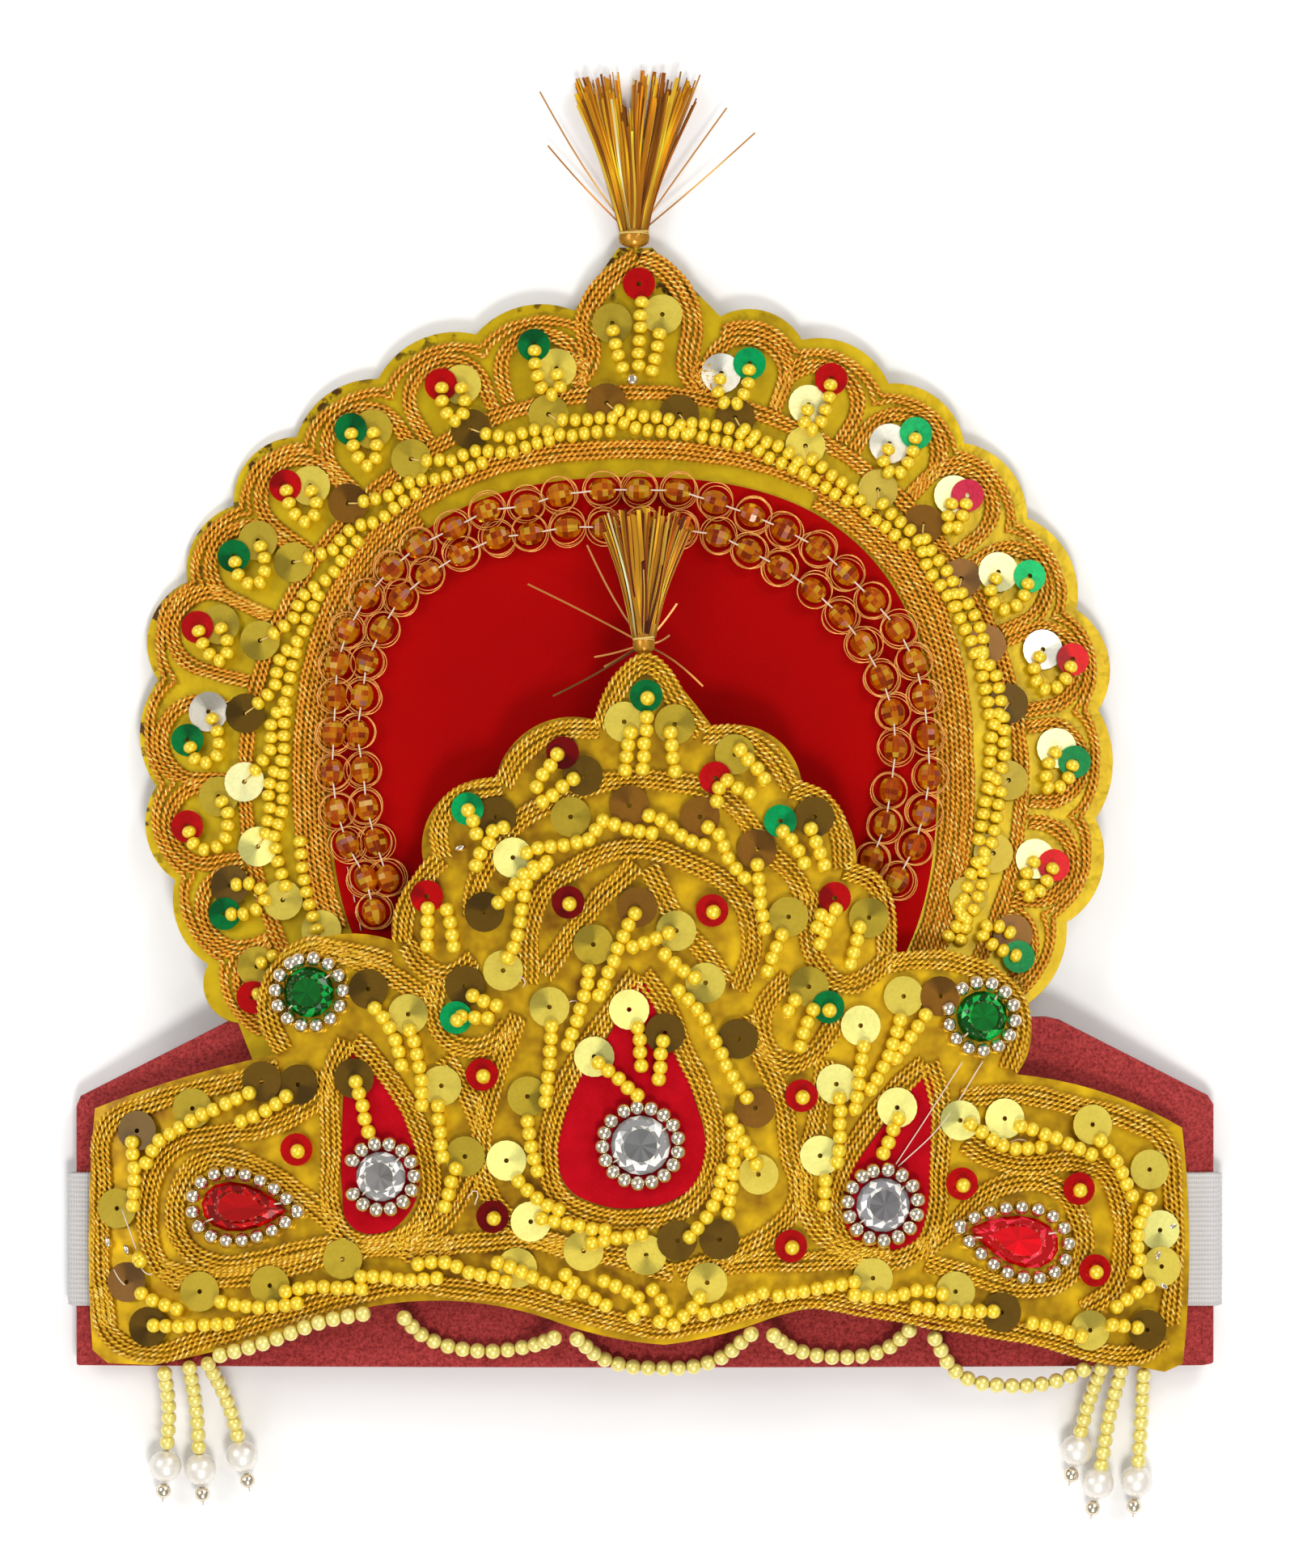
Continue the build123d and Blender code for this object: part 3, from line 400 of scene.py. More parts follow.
for corner in strap.data.vertices:
    stop = round((corner.co.x + 0.5) * (len(strap_line) - 1))
    rib = round((corner.co.y + 0.5) * 2 * STRAP_RIBS)
    raised = (rib % 2 - 0.5) * RIB_HEIGHT + RIB_WAVER * noise.noise(Vector((stop * 0.7, rib * 0.3, 3.0)))
    at, run = strap_line[stop], strap_run[stop]
    corner.co = Vector((at[0] - run[2] * raised, STRAP_Y + corner.co.y * STRAP_WIDTH, at[2] + run[0] * raised)) * MM
with_modifier(strap, "SOLIDIFY", thickness=(STRAP_THICK - 2 * RIB_HEIGHT) * MM, offset=0.0)
bpy.ops.object.shade_smooth()
settle(strap, elastic, ["elastic_strap"])

# Foil card: stiff card laminated with gold foil, a little dented and dulled. The disc stands behind and leans back
# from the band, and the brow plate is bent to a tighter arch in front of it. Both keep their solids' own meshes.
HALO_CARD = 2.0
HALO_LEAN = math.radians(5.8)
HINGE_Y = -42.6
HINGE_Z = BAND_LOW + BAND_RISE + BAND_CARD + FIT
HALO_BEND_RADIUS = BAND_RADIUS + BAND_CARD + FIT
HALO_CENTRE = (783.0, 965.0)
FRONT_CARD = 1.6
FRONT_MIDDLE = -1.6
FRONT_SPAN = 206.4
FRONT_RISE = 15.8
FRONT_RADIUS = arch_radius(FRONT_SPAN, FRONT_RISE)
FRONT_TOP = FRONT_RISE + band_height(FRONT_MIDDLE + FRONT_SPAN / 2, FIT + STRAP_THICK + FIT)
SLOPE_REACH = 4.0
SCUFF_EDGE = (88.6, 92.0)
SCUFF_SIDE = (-0.8, 0.6, 0.0)
SCUFF_GROWS = (20.0, 50.0)
SCUFF_BROWN = linear(84, 56, 12)
SCUFF_GRAIN = 380.0
SCUFF_BARE = (0.52, 0.6)
CREASE_SIDE = (0.98, 0.2, 0.0)
CREASE_GROWS = (60.0, 84.0)
CREASE_GRAIN = 130.0
CREASE_BUMP = 0.7
CREASE_DEPTH = 1.2


def on_disc(place, lift):
    """Point at a place in the photograph, lift above the disc's face."""
    x, y = across_up(place)
    z = arch_height(x, HALO_BEND_RADIUS, 0.0, HALO_CARD + lift)
    run = (y - HINGE_Y - z * math.sin(HALO_LEAN)) / math.cos(HALO_LEAN)
    return Vector((x, y, HINGE_Z - run * math.sin(HALO_LEAN) + z * math.cos(HALO_LEAN))) * MM


def on_brow(place, lift):
    """Point at a place in the photograph, lift above the brow plate's face."""
    x, y = across_up(place)
    return Vector((x, y, arch_height(x - FRONT_MIDDLE, FRONT_RADIUS, FRONT_TOP, FRONT_CARD + lift))) * MM


def seat_on(ground, place, lift, turn=0.0):
    """Matrix that stands a piece on a sloping surface, turned about its normal."""
    x, y = place
    east = (ground((x + SLOPE_REACH, y), lift) - ground((x - SLOPE_REACH, y), lift)).normalized()
    north = (ground((x, y - SLOPE_REACH), lift) - ground((x, y + SLOPE_REACH), lift)).normalized()
    up = east.cross(north).normalized()
    axes = Matrix((east, up.cross(east), up)).transposed().to_4x4()
    return Matrix.Translation(ground(place, lift)) @ axes @ Matrix.Rotation(turn, 4, "Z")


def to_one_side(tree, away, direction, grows):
    """Mask that grows towards one side of the disc."""
    along = wired(tree, "ShaderNodeVectorMath", {0: away, 1: direction}, operation="DOT_PRODUCT").outputs["Value"]
    return ranged(tree, along, grows[0] * MM, grows[1] * MM)


def scuffed(made):
    """Dark scuffs on the disc's upper left edge, and creases in the foil down its right side."""
    tree = made.node_tree
    shader = tree.nodes["Principled BSDF"]
    places = wired(tree, "ShaderNodeTexCoord").outputs["Object"]
    middle_x, middle_y = across_up(HALO_CENTRE)
    flat = wired(tree, "ShaderNodeVectorMath", {0: places, 1: (1.0, 1.0, 0.0)}, operation="MULTIPLY")
    away = wired(tree, "ShaderNodeVectorMath", {0: flat.outputs["Vector"], 1: (middle_x * MM, middle_y * MM, 0.0)},
                 operation="SUBTRACT").outputs["Vector"]
    reach = wired(tree, "ShaderNodeVectorMath", {0: away}, operation="LENGTH").outputs["Value"]
    edge = reckoned(tree, "MULTIPLY", to_one_side(tree, away, SCUFF_SIDE, SCUFF_GROWS),
                    ranged(tree, reach, SCUFF_EDGE[0] * MM, SCUFF_EDGE[1] * MM))
    rubbed = reckoned(tree, "MULTIPLY", edge, ranged(tree, speckle(tree, places, SCUFF_GRAIN, 3.0), *SCUFF_BARE))
    plain = shader.inputs["Base Color"].links[0].from_socket
    blend = wired(tree, "ShaderNodeMix", {"Factor": rubbed, "A": plain, "B": SCUFF_BROWN}, data_type="RGBA")
    feed(made, "Base Color", blend.outputs["Result"])
    folds = reckoned(tree, "MULTIPLY", to_one_side(tree, away, CREASE_SIDE, CREASE_GROWS),
                     speckle(tree, places, CREASE_GRAIN, 4.0))
    crease = wired(tree, "ShaderNodeBump", {"Strength": CREASE_BUMP, "Distance": CREASE_DEPTH * MM, "Height": folds,
                                            "Normal": shader.inputs["Normal"].links[0].from_socket})
    feed(made, "Normal", crease.outputs["Normal"])
    return made


foil = finish_of("gold_foil_card", linear(212, 180, 22), 0.3, 0.45, Coat_Weight=0.1, Specular_IOR_Level=0.25)
scuffed(mottled(foil, linear(222, 190, 24), linear(180, 142, 10), 28.0, 260.0, 1.1, 0.25, 0.3))
# The brow plate's foil is mottled from bright yellow to dark brown: partly the foil's own uneven tone, partly painted
# reflection of the room.
brow_foil = finish_of("gold_foil_brow", linear(214, 164, 20), 0.28, 0.5, Coat_Weight=0.1, Specular_IOR_Level=0.25)
mottled(brow_foil, linear(244, 196, 30), linear(134, 84, 10), 27.0, 240.0, 1.4, 0.18, 0.3)
for node, finish in (("halo_plate", foil), ("front_plate", brow_foil)):
    nodes[node].data.materials.clear()
    nodes[node].data.materials.append(finish)

# Velvet field: deep red pile cloth, cut to a slightly squared circle and glued flat on the disc inside its border.
# It is a laid sheet with a faint ripple.
FIELD_RADIUS = 59.4
FIELD_SQUARE = 2.1
FIELD_FOOT = -52.6
FIELD_STOPS = 160
FIELD_RINGS = 14
FIELD_RIPPLE = 0.12
SEAM = 0.15
VELVET = 0.7


def round_disc(angle, radius):
    """Place in the photograph at an angle from the right and a radius in millimetres round the disc."""
    run = radius * PHOTO_SCALE
    return HALO_CENTRE[0] + run * math.cos(angle), HALO_CENTRE[1] - run * math.sin(angle)


def field_edge(angle, offset=0.0):
    """Place on the edge of the velvet field, grown by an offset."""
    return round_disc(angle, FIELD_RADIUS - FIELD_SQUARE * math.cos(4 * angle) + offset)


velvet = finish_of("red_velvet", linear(152, 0, 5), 1.0, Sheen_Weight=0.08, Sheen_Roughness=0.4,
                   Specular_IOR_Level=0.1)
mottled(velvet, linear(169, 0, 6), linear(142, 0, 3), 60.0, 3800.0, 0.7, 0.35, 0.08)
field_outline = np.array([field_edge(math.tau * step / FIELD_STOPS) for step in range(FIELD_STOPS)])
field_outline[:, 1] = np.minimum(field_outline[:, 1], PHOTO_ZERO[1] - FIELD_FOOT * PHOTO_SCALE)
field_outline = stops_on(field_outline, count=FIELD_STOPS, closed=True)
field, field_area = laid_patch("velvet_field", field_outline, on_disc, SEAM, VELVET, FIELD_RINGS, FIELD_RIPPLE)
settle(field, velvet, ["halo_velvet"])

# Bead lace: two rows of faceted amber beads, each inside three thin copper wire loops, on one white thread a row
# that runs through the beads. It lies just inside the edge of the velvet.
LACE_OUTER = [
    (463, 1127), (453, 1086), (430, 1044), (417, 1003), (411, 955), (413, 907), (415, 862), (417, 821),
    (430, 780), (454, 737), (484, 703), (518, 675), (561, 653), (602, 632), (652, 625), (692, 612),
    (745, 606), (790, 606), (838, 607), (884, 621), (929, 637), (970, 655), (1012, 678), (1046, 709),
    (1079, 742), (1110, 778), (1131, 819), (1142, 862), (1147, 910), (1149, 960), (1142, 1005),
    (1130, 1047), (1109, 1088),
]
LACE_INNER = [
    (480, 1086), (465, 1041), (454, 998), (449, 952), (442, 907), (448, 861), (454, 818), (472, 778),
    (496, 739), (530, 710), (570, 685), (615, 665), (656, 660), (702, 652), (748, 652), (795, 650),
    (842, 655), (888, 662), (926, 681), (965, 702), (1005, 730), (1040, 762), (1067, 797), (1090, 838),
    (1104, 881), (1107, 925), (1101, 977), (1094, 1019), (1078, 1062),
]
LACE_BEAD = (2.7, 2.25)
LACE_LIFT = SEAM + VELVET + LACE_BEAD[1]
LACE_RING = 3.5
RING_WIRE = 0.11
WIRE_LOOPS = 3
RING_SINK = 0.9
RING_WARP = 0.25
THREAD = 0.16
THREAD_STEP = 0.9
THREAD_OVER_BEAD = 0.55 * LACE_BEAD[1]
THREAD_BETWEEN = 0.9
AMBER_TONES_AND_GLINTS = ((236, 140, 14), (210, 100, 6), (255, 206, 60), (160, 62, 4), (244, 158, 24), (204, 92, 8))
rng = random.Random(11)


def pick(test):
    """In edit mode, selects the corners whose place passes a test, with their edges and faces."""
    shape = bmesh.from_edit_mesh(bpy.context.edit_object.data)
    bpy.ops.mesh.select_all(action="DESELECT")
    bpy.ops.mesh.select_mode(type="VERT")
    for corner in shape.verts:
        corner.select_set(bool(test(corner.co)))
    shape.select_flush(True)
    bmesh.update_edit_mesh(bpy.context.edit_object.data)


def resize(x, y, z):
    """In edit mode, resizes what is selected about the origin."""
    bpy.ops.transform.resize(value=(x, y, z), center_override=(0.0, 0.0, 0.0))


def mould_of(piece):
    """Mesh of a finished piece, kept as a mould for copies."""
    mould = piece.data
    bpy.data.objects.remove(piece)
    return mould


def bead_mould(name, radius, segments, rings, length=1.0, dimple=0.35):
    """Bead bored along Z: a ball whose poles are pushed in where the thread enters."""
    bead = begun(bpy.ops.mesh.primitive_uv_sphere_add, name, segments=segments, ring_count=rings, radius=radius * MM)
    open_all()
    pick(lambda at: abs(at.z) > 0.99 * radius * MM)
    resize(1.0, 1.0, 1.0 - dimple)
    bpy.ops.mesh.select_all(action="SELECT")
    resize(1.0, 1.0, length)
    close()
    return mould_of(bead)


def piece_of(name, corners, sides, finish, slot, stands_for=(), tints=None, smooth=True):
    """Piece out of corners and sides, with a colour for each corner where it has tints."""
    mesh = bpy.data.meshes.new(name)
    mesh.from_pydata(np.asarray(corners).tolist(), [], sides)
    if tints is not None:
        layer = mesh.attributes.new("tint", "FLOAT_COLOR", "POINT")
        layer.data.foreach_set("color", np.asarray(tints, dtype=np.float32).ravel())
    mesh.polygons.foreach_set("use_smooth", [smooth] * len(mesh.polygons))
    piece = bpy.data.objects.new(name, mesh)
    bpy.context.scene.collection.objects.link(piece)
    return settle(piece, finish, stands_for)


def many(mould, seats, tints=None):
    """Corners, sides and tints of copies of a mould, one at each seat."""
    own = np.array([corner.co for corner in mould.vertices])
    sides = [tuple(side.vertices) for side in mould.polygons]
    corners, copies, colours = [], [], []
    for index, seat in enumerate(seats):
        place = np.array(seat)
        start = index * len(own)
        corners.append(own @ place[:3, :3].T + place[:3, 3])
        copies.extend(tuple(start + corner for corner in side) for side in sides)
        if tints is not None:
            colours.append(np.broadcast_to(tints[index], (len(own), 4)))
    return np.vstack(corners), copies, np.vstack(colours) if colours else None


def copies_of(mould, seats, name, finish, slot, stands_for=(), smooth=True):
    """Piece made of copies of a mould."""
    corners, sides, _ = many(mould, seats)
    return piece_of(name, corners, sides, finish, slot, stands_for, smooth=smooth)


def seats_along(points):
    """Seats for beads bored along the line that their places make."""
    seats = []
    for index, at in enumerate(points):
        run = points[min(index + 1, len(points) - 1)] - points[max(index - 1, 0)]
        seats.append(Matrix.Translation(at) @ run.to_track_quat("Z", "Y").to_matrix().to_4x4())
    return seats


def swept(points, rings, count):
    """Sides of a tube of rings of corners, closed at both ends. Points is how many corners came before."""
    sides = [(here + index, here + count + index, here + count + (index + 1) % count, here + (index + 1) % count)
             for here in range(points, points + (rings - 1) * count, count) for index in range(count)]
    last = points + (rings - 1) * count
    return sides + [tuple(range(points, points + count)), tuple(reversed(range(last, last + count)))]


def spun(lines, section, turn_length=None, plumb=(0.0, 0.0, 1.0)):
    """Corners and sides of cords: a section swept along each line, turning once for every turn length."""
    corners, sides, start = [], [], 0
    angles, radii = np.array(section).T
    for line in lines:
        points = np.array(line)
        run = headings(points)
        side = np.cross(run, plumb)
        side /= np.linalg.norm(side, axis=1)[:, None]
        up = np.cross(side, run)
        far = np.concatenate(([0.0], np.cumsum(np.linalg.norm(np.diff(points, axis=0), axis=1))))
        turned = angles[None, :] + (far[:, None] / (turn_length * MM) * math.tau if turn_length else 0.0)
        ring = (points[:, None, :] + (radii * MM * np.cos(turned))[:, :, None] * side[:, None, :]
                + (radii * MM * np.sin(turned))[:, :, None] * up[:, None, :])
        corners.append(ring.reshape(-1, 3))
        sides += swept(start, len(points), len(section))
        start += len(corners[-1])
    return np.vstack(corners), sides


def round_section(radius, count=6):
    """Section of a round thread or wire."""
    return [(math.tau * step / count, radius) for step in range(count)]


def thread_of(lines, name, finish, slot, stands_for=(), section=round_section(THREAD), plumb=(0.0, 0.0, 1.0)):
    """Piece made of plain thread along some lines."""
    return piece_of(name, *spun(lines, section, None, plumb), finish, slot, stands_for)


def tint_of(made):
    """Colour that each corner of a piece carries."""
    return wired(made.node_tree, "ShaderNodeAttribute", attribute_name="tint").outputs["Color"]


amber = finish_of("amber_glass", WHITE, 0.05, 0.0, Transmission_Weight=0.65, IOR=1.35, Specular_IOR_Level=0.3)
feed(amber, "Base Color", tint_of(amber))
copper = finish_of("copper_gold_wire", linear(240, 168, 76), 0.3, 0.4)
mottled(copper, linear(255, 200, 110), linear(220, 130, 44), 300.0, 2000.0, 0.8, 0.1, 0.02)
white_thread = finish_of("white_thread", linear(226, 206, 186), 0.8)
mottled(white_thread, linear(234, 220, 202), linear(206, 180, 156), 500.0, 3000.0, 0.8, 0.3, 0.03)
bead_seats, ring_seats, lace_threads = [], [], []
for row in (LACE_OUTER, LACE_INNER):
    for index, seat in enumerate(seats_along([on_disc(place, LACE_LIFT) for place in row])):
        bead_seats.append(seat @ Matrix.Rotation(rng.uniform(0, 1), 4, "Z"))
        for _ in range(WIRE_LOOPS):
            flat = seat_on(on_disc, row[index], LACE_LIFT - RING_SINK + rng.uniform(-0.3, 0.5), rng.uniform(0, 3))
            tilt = Matrix.Rotation(rng.uniform(-0.13, 0.13), 4, "X")
            shift = Matrix.Translation(Vector((rng.uniform(-0.4, 0.4), rng.uniform(-0.4, 0.4), 0)) * MM)
            oval = Matrix.Diagonal((rng.uniform(0.94, 1.04), rng.uniform(0.88, 1.0), 1.0, 1.0))
            ring_seats.append(flat @ shift @ tilt @ oval)
    over = [on_disc(row[0], LACE_LIFT + THREAD_OVER_BEAD)]
    for place, after in zip(row, row[1:]):
        middle = ((place[0] + after[0]) / 2, (place[1] + after[1]) / 2)
        over += [on_disc(middle, LACE_LIFT + THREAD_BETWEEN), on_disc(after, LACE_LIFT + THREAD_OVER_BEAD)]
    lace_threads.append(stops_on(drawn_through([tuple(point / MM) for point in over]), THREAD_STEP) * MM)
facet_bead = bead_mould("amber_bead", LACE_BEAD[1], 10, 8, LACE_BEAD[0] / LACE_BEAD[1], 0.15)
beads = copies_of(facet_bead, bead_seats, "amber_beads", amber, "amber_bead", ["bead_lace"], False)
# Each facet takes a tone at random: the bright ones are painted glints and the darkest painted shade, over the amber's
# own orange.
facets = beads.data.attributes.new("tint", "FLOAT_COLOR", "CORNER")
for side in beads.data.polygons:
    tone = linear(*rng.choice(AMBER_TONES_AND_GLINTS))
    for corner in side.loop_indices:
        facets.data[corner].color = tone
ring = begun(bpy.ops.mesh.primitive_torus_add, "wire_ring", major_radius=LACE_RING * MM,
             minor_radius=RING_WIRE * MM, major_segments=24, minor_segments=5)
open_all()
pick(lambda at: at.x > 0.8 * LACE_RING * MM)
bpy.ops.transform.translate(value=(0.0, 0.0, RING_WARP * MM))
close()
copies_of(mould_of(ring), ring_seats, "lace_wire_rings", copper, "amber_bead", ["bead_lace"])
thread_of(lace_threads, "lace_thread", white_thread, "amber_bead", ["bead_lace"])

# Zari cord of the disc: two-ply metallic thread, couched in three horseshoe rows in each scallop, two rows along
# the scallops' edge, four down each side of the peak, three below the scallops and seven round the velvet, of which
# the inner ones leave the foil bare at the top.
PLY_RIDGE = 0.6
PLY_WAIST = 0.34
PLY_TURN = 2.4
CORD_STEP = 0.4
CORD_LIFT = SEAM + PLY_RIDGE
ROW_GAP = 1.0
EDGE_GAP = 0.95
TWO_PLY = [(math.radians(angle), PLY_WAIST if angle % 180 else PLY_RIDGE) for angle in range(0, 360, 60)]
SCALLOPS = [
    # angle, edge radius at its tip in millimetres
    (-24.6, 87.6), (-11.4, 90.2), (2.4, 90.6), (15.4, 93.0), (27.3, 92.6), (40.5, 92.5), (50.9, 92.5),
    (63.8, 92.1), (74.4, 92.2), (102.9, 92.1), (115.9, 92.8), (128.8, 93.4), (139.7, 95.0), (150.7, 95.2),
    (160.6, 96.2), (174.8, 93.6), (185.9, 92.5), (198.1, 90.1), (209.5, 89.5),
]
PEAK_AFTER = 9
HORSESHOE_ROWS = (6.4, 7.35, 8.3)
HORSESHOE_STEPS = 14
CORD_RIM = 2.8
NARROW_RIM = 1.5
NARROW_SIDE = math.radians(172)
SCALLOP_RISE = 2.8
SCALLOP_STEPS = 14
EDGE_ROWS = ((0.0, 0.2), (EDGE_GAP, 1.3))
CORD_FOOT = 74.8
PEAK_SIDES = (
    [(790, 318), (768, 332), (746, 352), (729, 378), (723, 404), (730, 432), (724, 454), (712, 470)],
    [(790, 318), (812, 326), (835, 346), (850, 372), (857, 402), (852, 432), (852, 458), (866, 476)],
)
PEAK_ROWS = (-1.6, -0.55, 0.5, 1.55)
PEAK_CURLS = ((713, 456), (869, 466))
CURL_ROWS = (1.1, 2.1)
CURL_STOPS = 20
CURL_LONG = 1.3
SCALLOP_FOOT = (72.3, 73.25, 74.2)
FIELD_CORDS = (1.0, 1.95, 2.9, 3.85, 4.8, 5.75, 6.6)
CORD_FROM = math.radians(-33.0)
CORD_TO = math.radians(207.0)
CORD_SWEEP_STEPS = 120
BARE_FOIL = 3.0
BARE_FROM = math.radians(58)
BARE_TO = math.radians(128)
HAND_WAVER = 1.9
WAVER_LONG = 28.0
CORD_RISE = 0.2
RISE_LONG = 15.0
# Painted light on the cord: the ply backs carry a painted highlight, the grooves painted shade, and some dashes a
# painted glint.
HALO_RIDGE_HIGHLIGHT = linear(255, 208, 70)
HALO_GROOVE_SHADE = linear(196, 114, 14)
GLINT = linear(255, 236, 120)
GLINT_SHARE = 0.2
DIMMEST_HIGHLIGHT_DASH = 0.62
DASH_RINGS = round(PLY_TURN / CORD_STEP / 2)
sparkle = np.random.default_rng(5)


def wander(place, seed):
    """A place moved a little, as a hand lays cord."""
    at = Vector((place[0] / WAVER_LONG, place[1] / WAVER_LONG, seed))
    return place[0] + HAND_WAVER * noise.noise(at), place[1] + HAND_WAVER * noise.noise(at + Vector((9.1, 3.7, 0)))


def couched(ground, places, lift=CORD_LIFT, seed=0.0):
    """Line of a cord couched along places of the photograph."""
    points = []
    for stop in stops_on(places, CORD_STEP * PHOTO_SCALE):
        rise = CORD_RISE * noise.noise(Vector((stop[0] / RISE_LONG, stop[1] / RISE_LONG, seed + 5)))
        points.append(ground(wander(stop, seed), lift + rise))
    return points


def beside(places, offset):
    """Line of places moved sideways by an offset in millimetres."""
    line = drawn_through(places)[:, :2]
    run = headings(line)
    return line + np.stack((run[:, 1], -run[:, 0]), axis=1) * offset * PHOTO_SCALE


def cord_edge(angle, tip):
    """Radius of the outermost row of cord at a scallop's tip: the bare rim is narrower on the left."""
    return tip - CORD_RIM + NARROW_RIM * max(0.0, math.cos(angle - NARROW_SIDE)) ** 6


def tinted(name, roughness, metallic, dark, scale, grain, depth, **sockets):
    """Finish whose colour is each corner's tint, mottled down towards a darker share of it."""
    made = finish_of(name, WHITE, roughness, metallic, **sockets)
    mottled(made, WHITE, dark, scale, grain, 1.0, 0.15, depth)
    shade = made.node_tree.nodes["Principled BSDF"].inputs["Base Color"].links[0].from_socket
    blend = wired(made.node_tree, "ShaderNodeMix", data_type="RGBA", blend_type="MULTIPLY",
                  inputs={"Factor": 1.0, "A": tint_of(made), "B": shade})
    feed(made, "Base Color", blend.outputs["Result"])
    return made


def zari_piece(name, cords, ridge_highlight, groove_shade, stands_for):
    """Piece of two-ply cord: painted highlight in dashes on each ply's back, here and there a painted glint, and
    painted shade between.
    """
    corners, sides = spun(cords, TWO_PLY, PLY_TURN)
    rings = len(corners) // len(TWO_PLY)
    dashes = rings // DASH_RINGS + 1
    gleam = np.repeat(sparkle.uniform(DIMMEST_HIGHLIGHT_DASH, 1.0, dashes), DASH_RINGS)[:rings, None]
    glinting = np.repeat(sparkle.uniform(0.0, 1.0, dashes) < GLINT_SHARE, DASH_RINGS)[:rings, None]
    backs = np.where(glinting, GLINT, gleam * np.array(ridge_highlight))
    on_back = np.array([radius == PLY_RIDGE for _, radius in TWO_PLY])[None, :, None]
    tints = np.where(on_back, backs[:, None, :], groove_shade).reshape(-1, 4)
    piece_of(name, corners, sides, zari, "zari_cord", stands_for, tints)


disc_cords = []
for degrees, tip in SCALLOPS:
    centre = math.radians(degrees)
    turn_radius = cord_edge(centre, tip) - EDGE_GAP * len(EDGE_ROWS) - HORSESHOE_ROWS[-1]
    for radius in HORSESHOE_ROWS:
        bend = [math.pi * step / HORSESHOE_STEPS for step in range(HORSESHOE_STEPS + 1)]
        loop = [(-radius * math.cos(turn), turn_radius + radius * math.sin(turn)) for turn in bend]
        loop = [(-radius, CORD_FOOT), *loop, (radius, CORD_FOOT)]
        places = [round_disc(centre - side / turn_radius, far) for side, far in loop]
        disc_cords.append(couched(on_disc, places, seed=degrees + radius))
for scallops in (SCALLOPS[:PEAK_AFTER], SCALLOPS[PEAK_AFTER:]):
    for inset, dip in EDGE_ROWS:
        places = []
        for index, (degrees, tip) in enumerate(scallops):
            before = scallops[index - 1] if index else (2 * degrees - scallops[1][0], tip)
            after = scallops[index + 1] if index + 1 < len(scallops) else (2 * degrees - before[0], tip)
            for step in range(SCALLOP_STEPS):
                share = 2 * step / SCALLOP_STEPS - 1
                near, near_tip = before if share < 0 else after
                angle = math.radians(degrees + abs(share) / 2 * (near - degrees))
                edge = cord_edge(angle, tip + abs(share) / 2 * (near_tip - tip))
                places.append(round_disc(angle, edge - inset - SCALLOP_RISE * share ** 2 - dip * share ** 6))
        disc_cords.append(couched(on_disc, places, seed=inset + scallops[0][1]))
for side_places in PEAK_SIDES:
    for row in PEAK_ROWS:
        disc_cords.append(couched(on_disc, beside(side_places, row * ROW_GAP), seed=row))
for curl_x, curl_y in PEAK_CURLS:
    for curl in CURL_ROWS:
        places = [(curl_x + curl * PHOTO_SCALE * math.cos(step / 3),
                   curl_y + CURL_LONG * curl * PHOTO_SCALE * math.sin(step / 3)) for step in range(CURL_STOPS)]
        disc_cords.append(couched(on_disc, places, CORD_LIFT + 0.3, curl))
sweep = [CORD_FROM + (CORD_TO - CORD_FROM) * step / CORD_SWEEP_STEPS for step in range(CORD_SWEEP_STEPS + 1)]
for radius in SCALLOP_FOOT:
    disc_cords.append(couched(on_disc, [round_disc(angle, radius) for angle in sweep], seed=radius))
left_of_top = [angle for angle in sweep if angle > BARE_TO]
right_of_top = [angle for angle in sweep if angle < BARE_FROM]
for offset in FIELD_CORDS:
    for angles in (left_of_top, right_of_top) if offset < BARE_FOIL else (sweep,):
        disc_cords.append(couched(on_disc, [field_edge(angle, offset) for angle in angles], seed=offset))
zari = tinted("zari_thread", 0.34, 0.35, (0.9, 0.84, 0.76, 1), 450.0, 2600.0, 0.03, Specular_IOR_Level=0.3)
zari_piece("halo_zari_rows", disc_cords, HALO_RIDGE_HIGHLIGHT, HALO_GROOVE_SHADE, ["halo_cords"])

# Sequins of the disc: thin metallised film discs with a sewing hole. A small coloured one lies half over a large
# gold one in each scallop, and a row of large dull ones runs round below the scallops.
GOLD_SEQUIN = 3.8
COLOUR_SEQUIN = 3.1
SEQUIN_HOLE = 0.5
SEQUIN_THICK = 0.2
SEQUIN_SIDES = 20
SEQUIN_CUP = 0.04
SEQUIN_TILT = 0.07
FILM_SHADE = 0.5
GOLD_LIFT = 1.45
COLOUR_LIFT = 1.85
# The white, cream and bright gold tones are painted reflection: films that catch the light. The others are the films'
# own tones.
FILM = {
    "white": linear(255, 255, 244), "cream": linear(255, 254, 186), "bright": linear(255, 252, 150),
    "pale": linear(222, 202, 84), "olive": linear(184, 160, 50), "brown": linear(130, 88, 28),
    "dark": linear(102, 76, 20), "silver": linear(206, 202, 192),
    "green": linear(0, 128, 62), "leaf": linear(0, 176, 96), "red": linear(196, 4, 12), "rose": linear(212, 40, 72),
    "wine": linear(122, 4, 12),
}
SCALLOP_GOLD = [
    (892, 461, "white"), (1000, 500, "cream"), (1100, 548, "white"), (1180, 612, "cream"), (1235, 707, "cream"),
    (1290, 803, "white"), (1307, 925, "cream"), (1280, 1062, "cream"), (1252, 1155, "brown"),
    (688, 455, "pale"), (570, 475, "pale"), (460, 530, "olive"), (383, 600, "pale"), (318, 668, "olive"),
    (271, 772, "olive"), (257, 880, "silver"), (270, 985, "olive"), (285, 1095, "dark"), (318, 1195, "olive"),
    (757, 399, "olive"), (819, 388, "pale"),
]
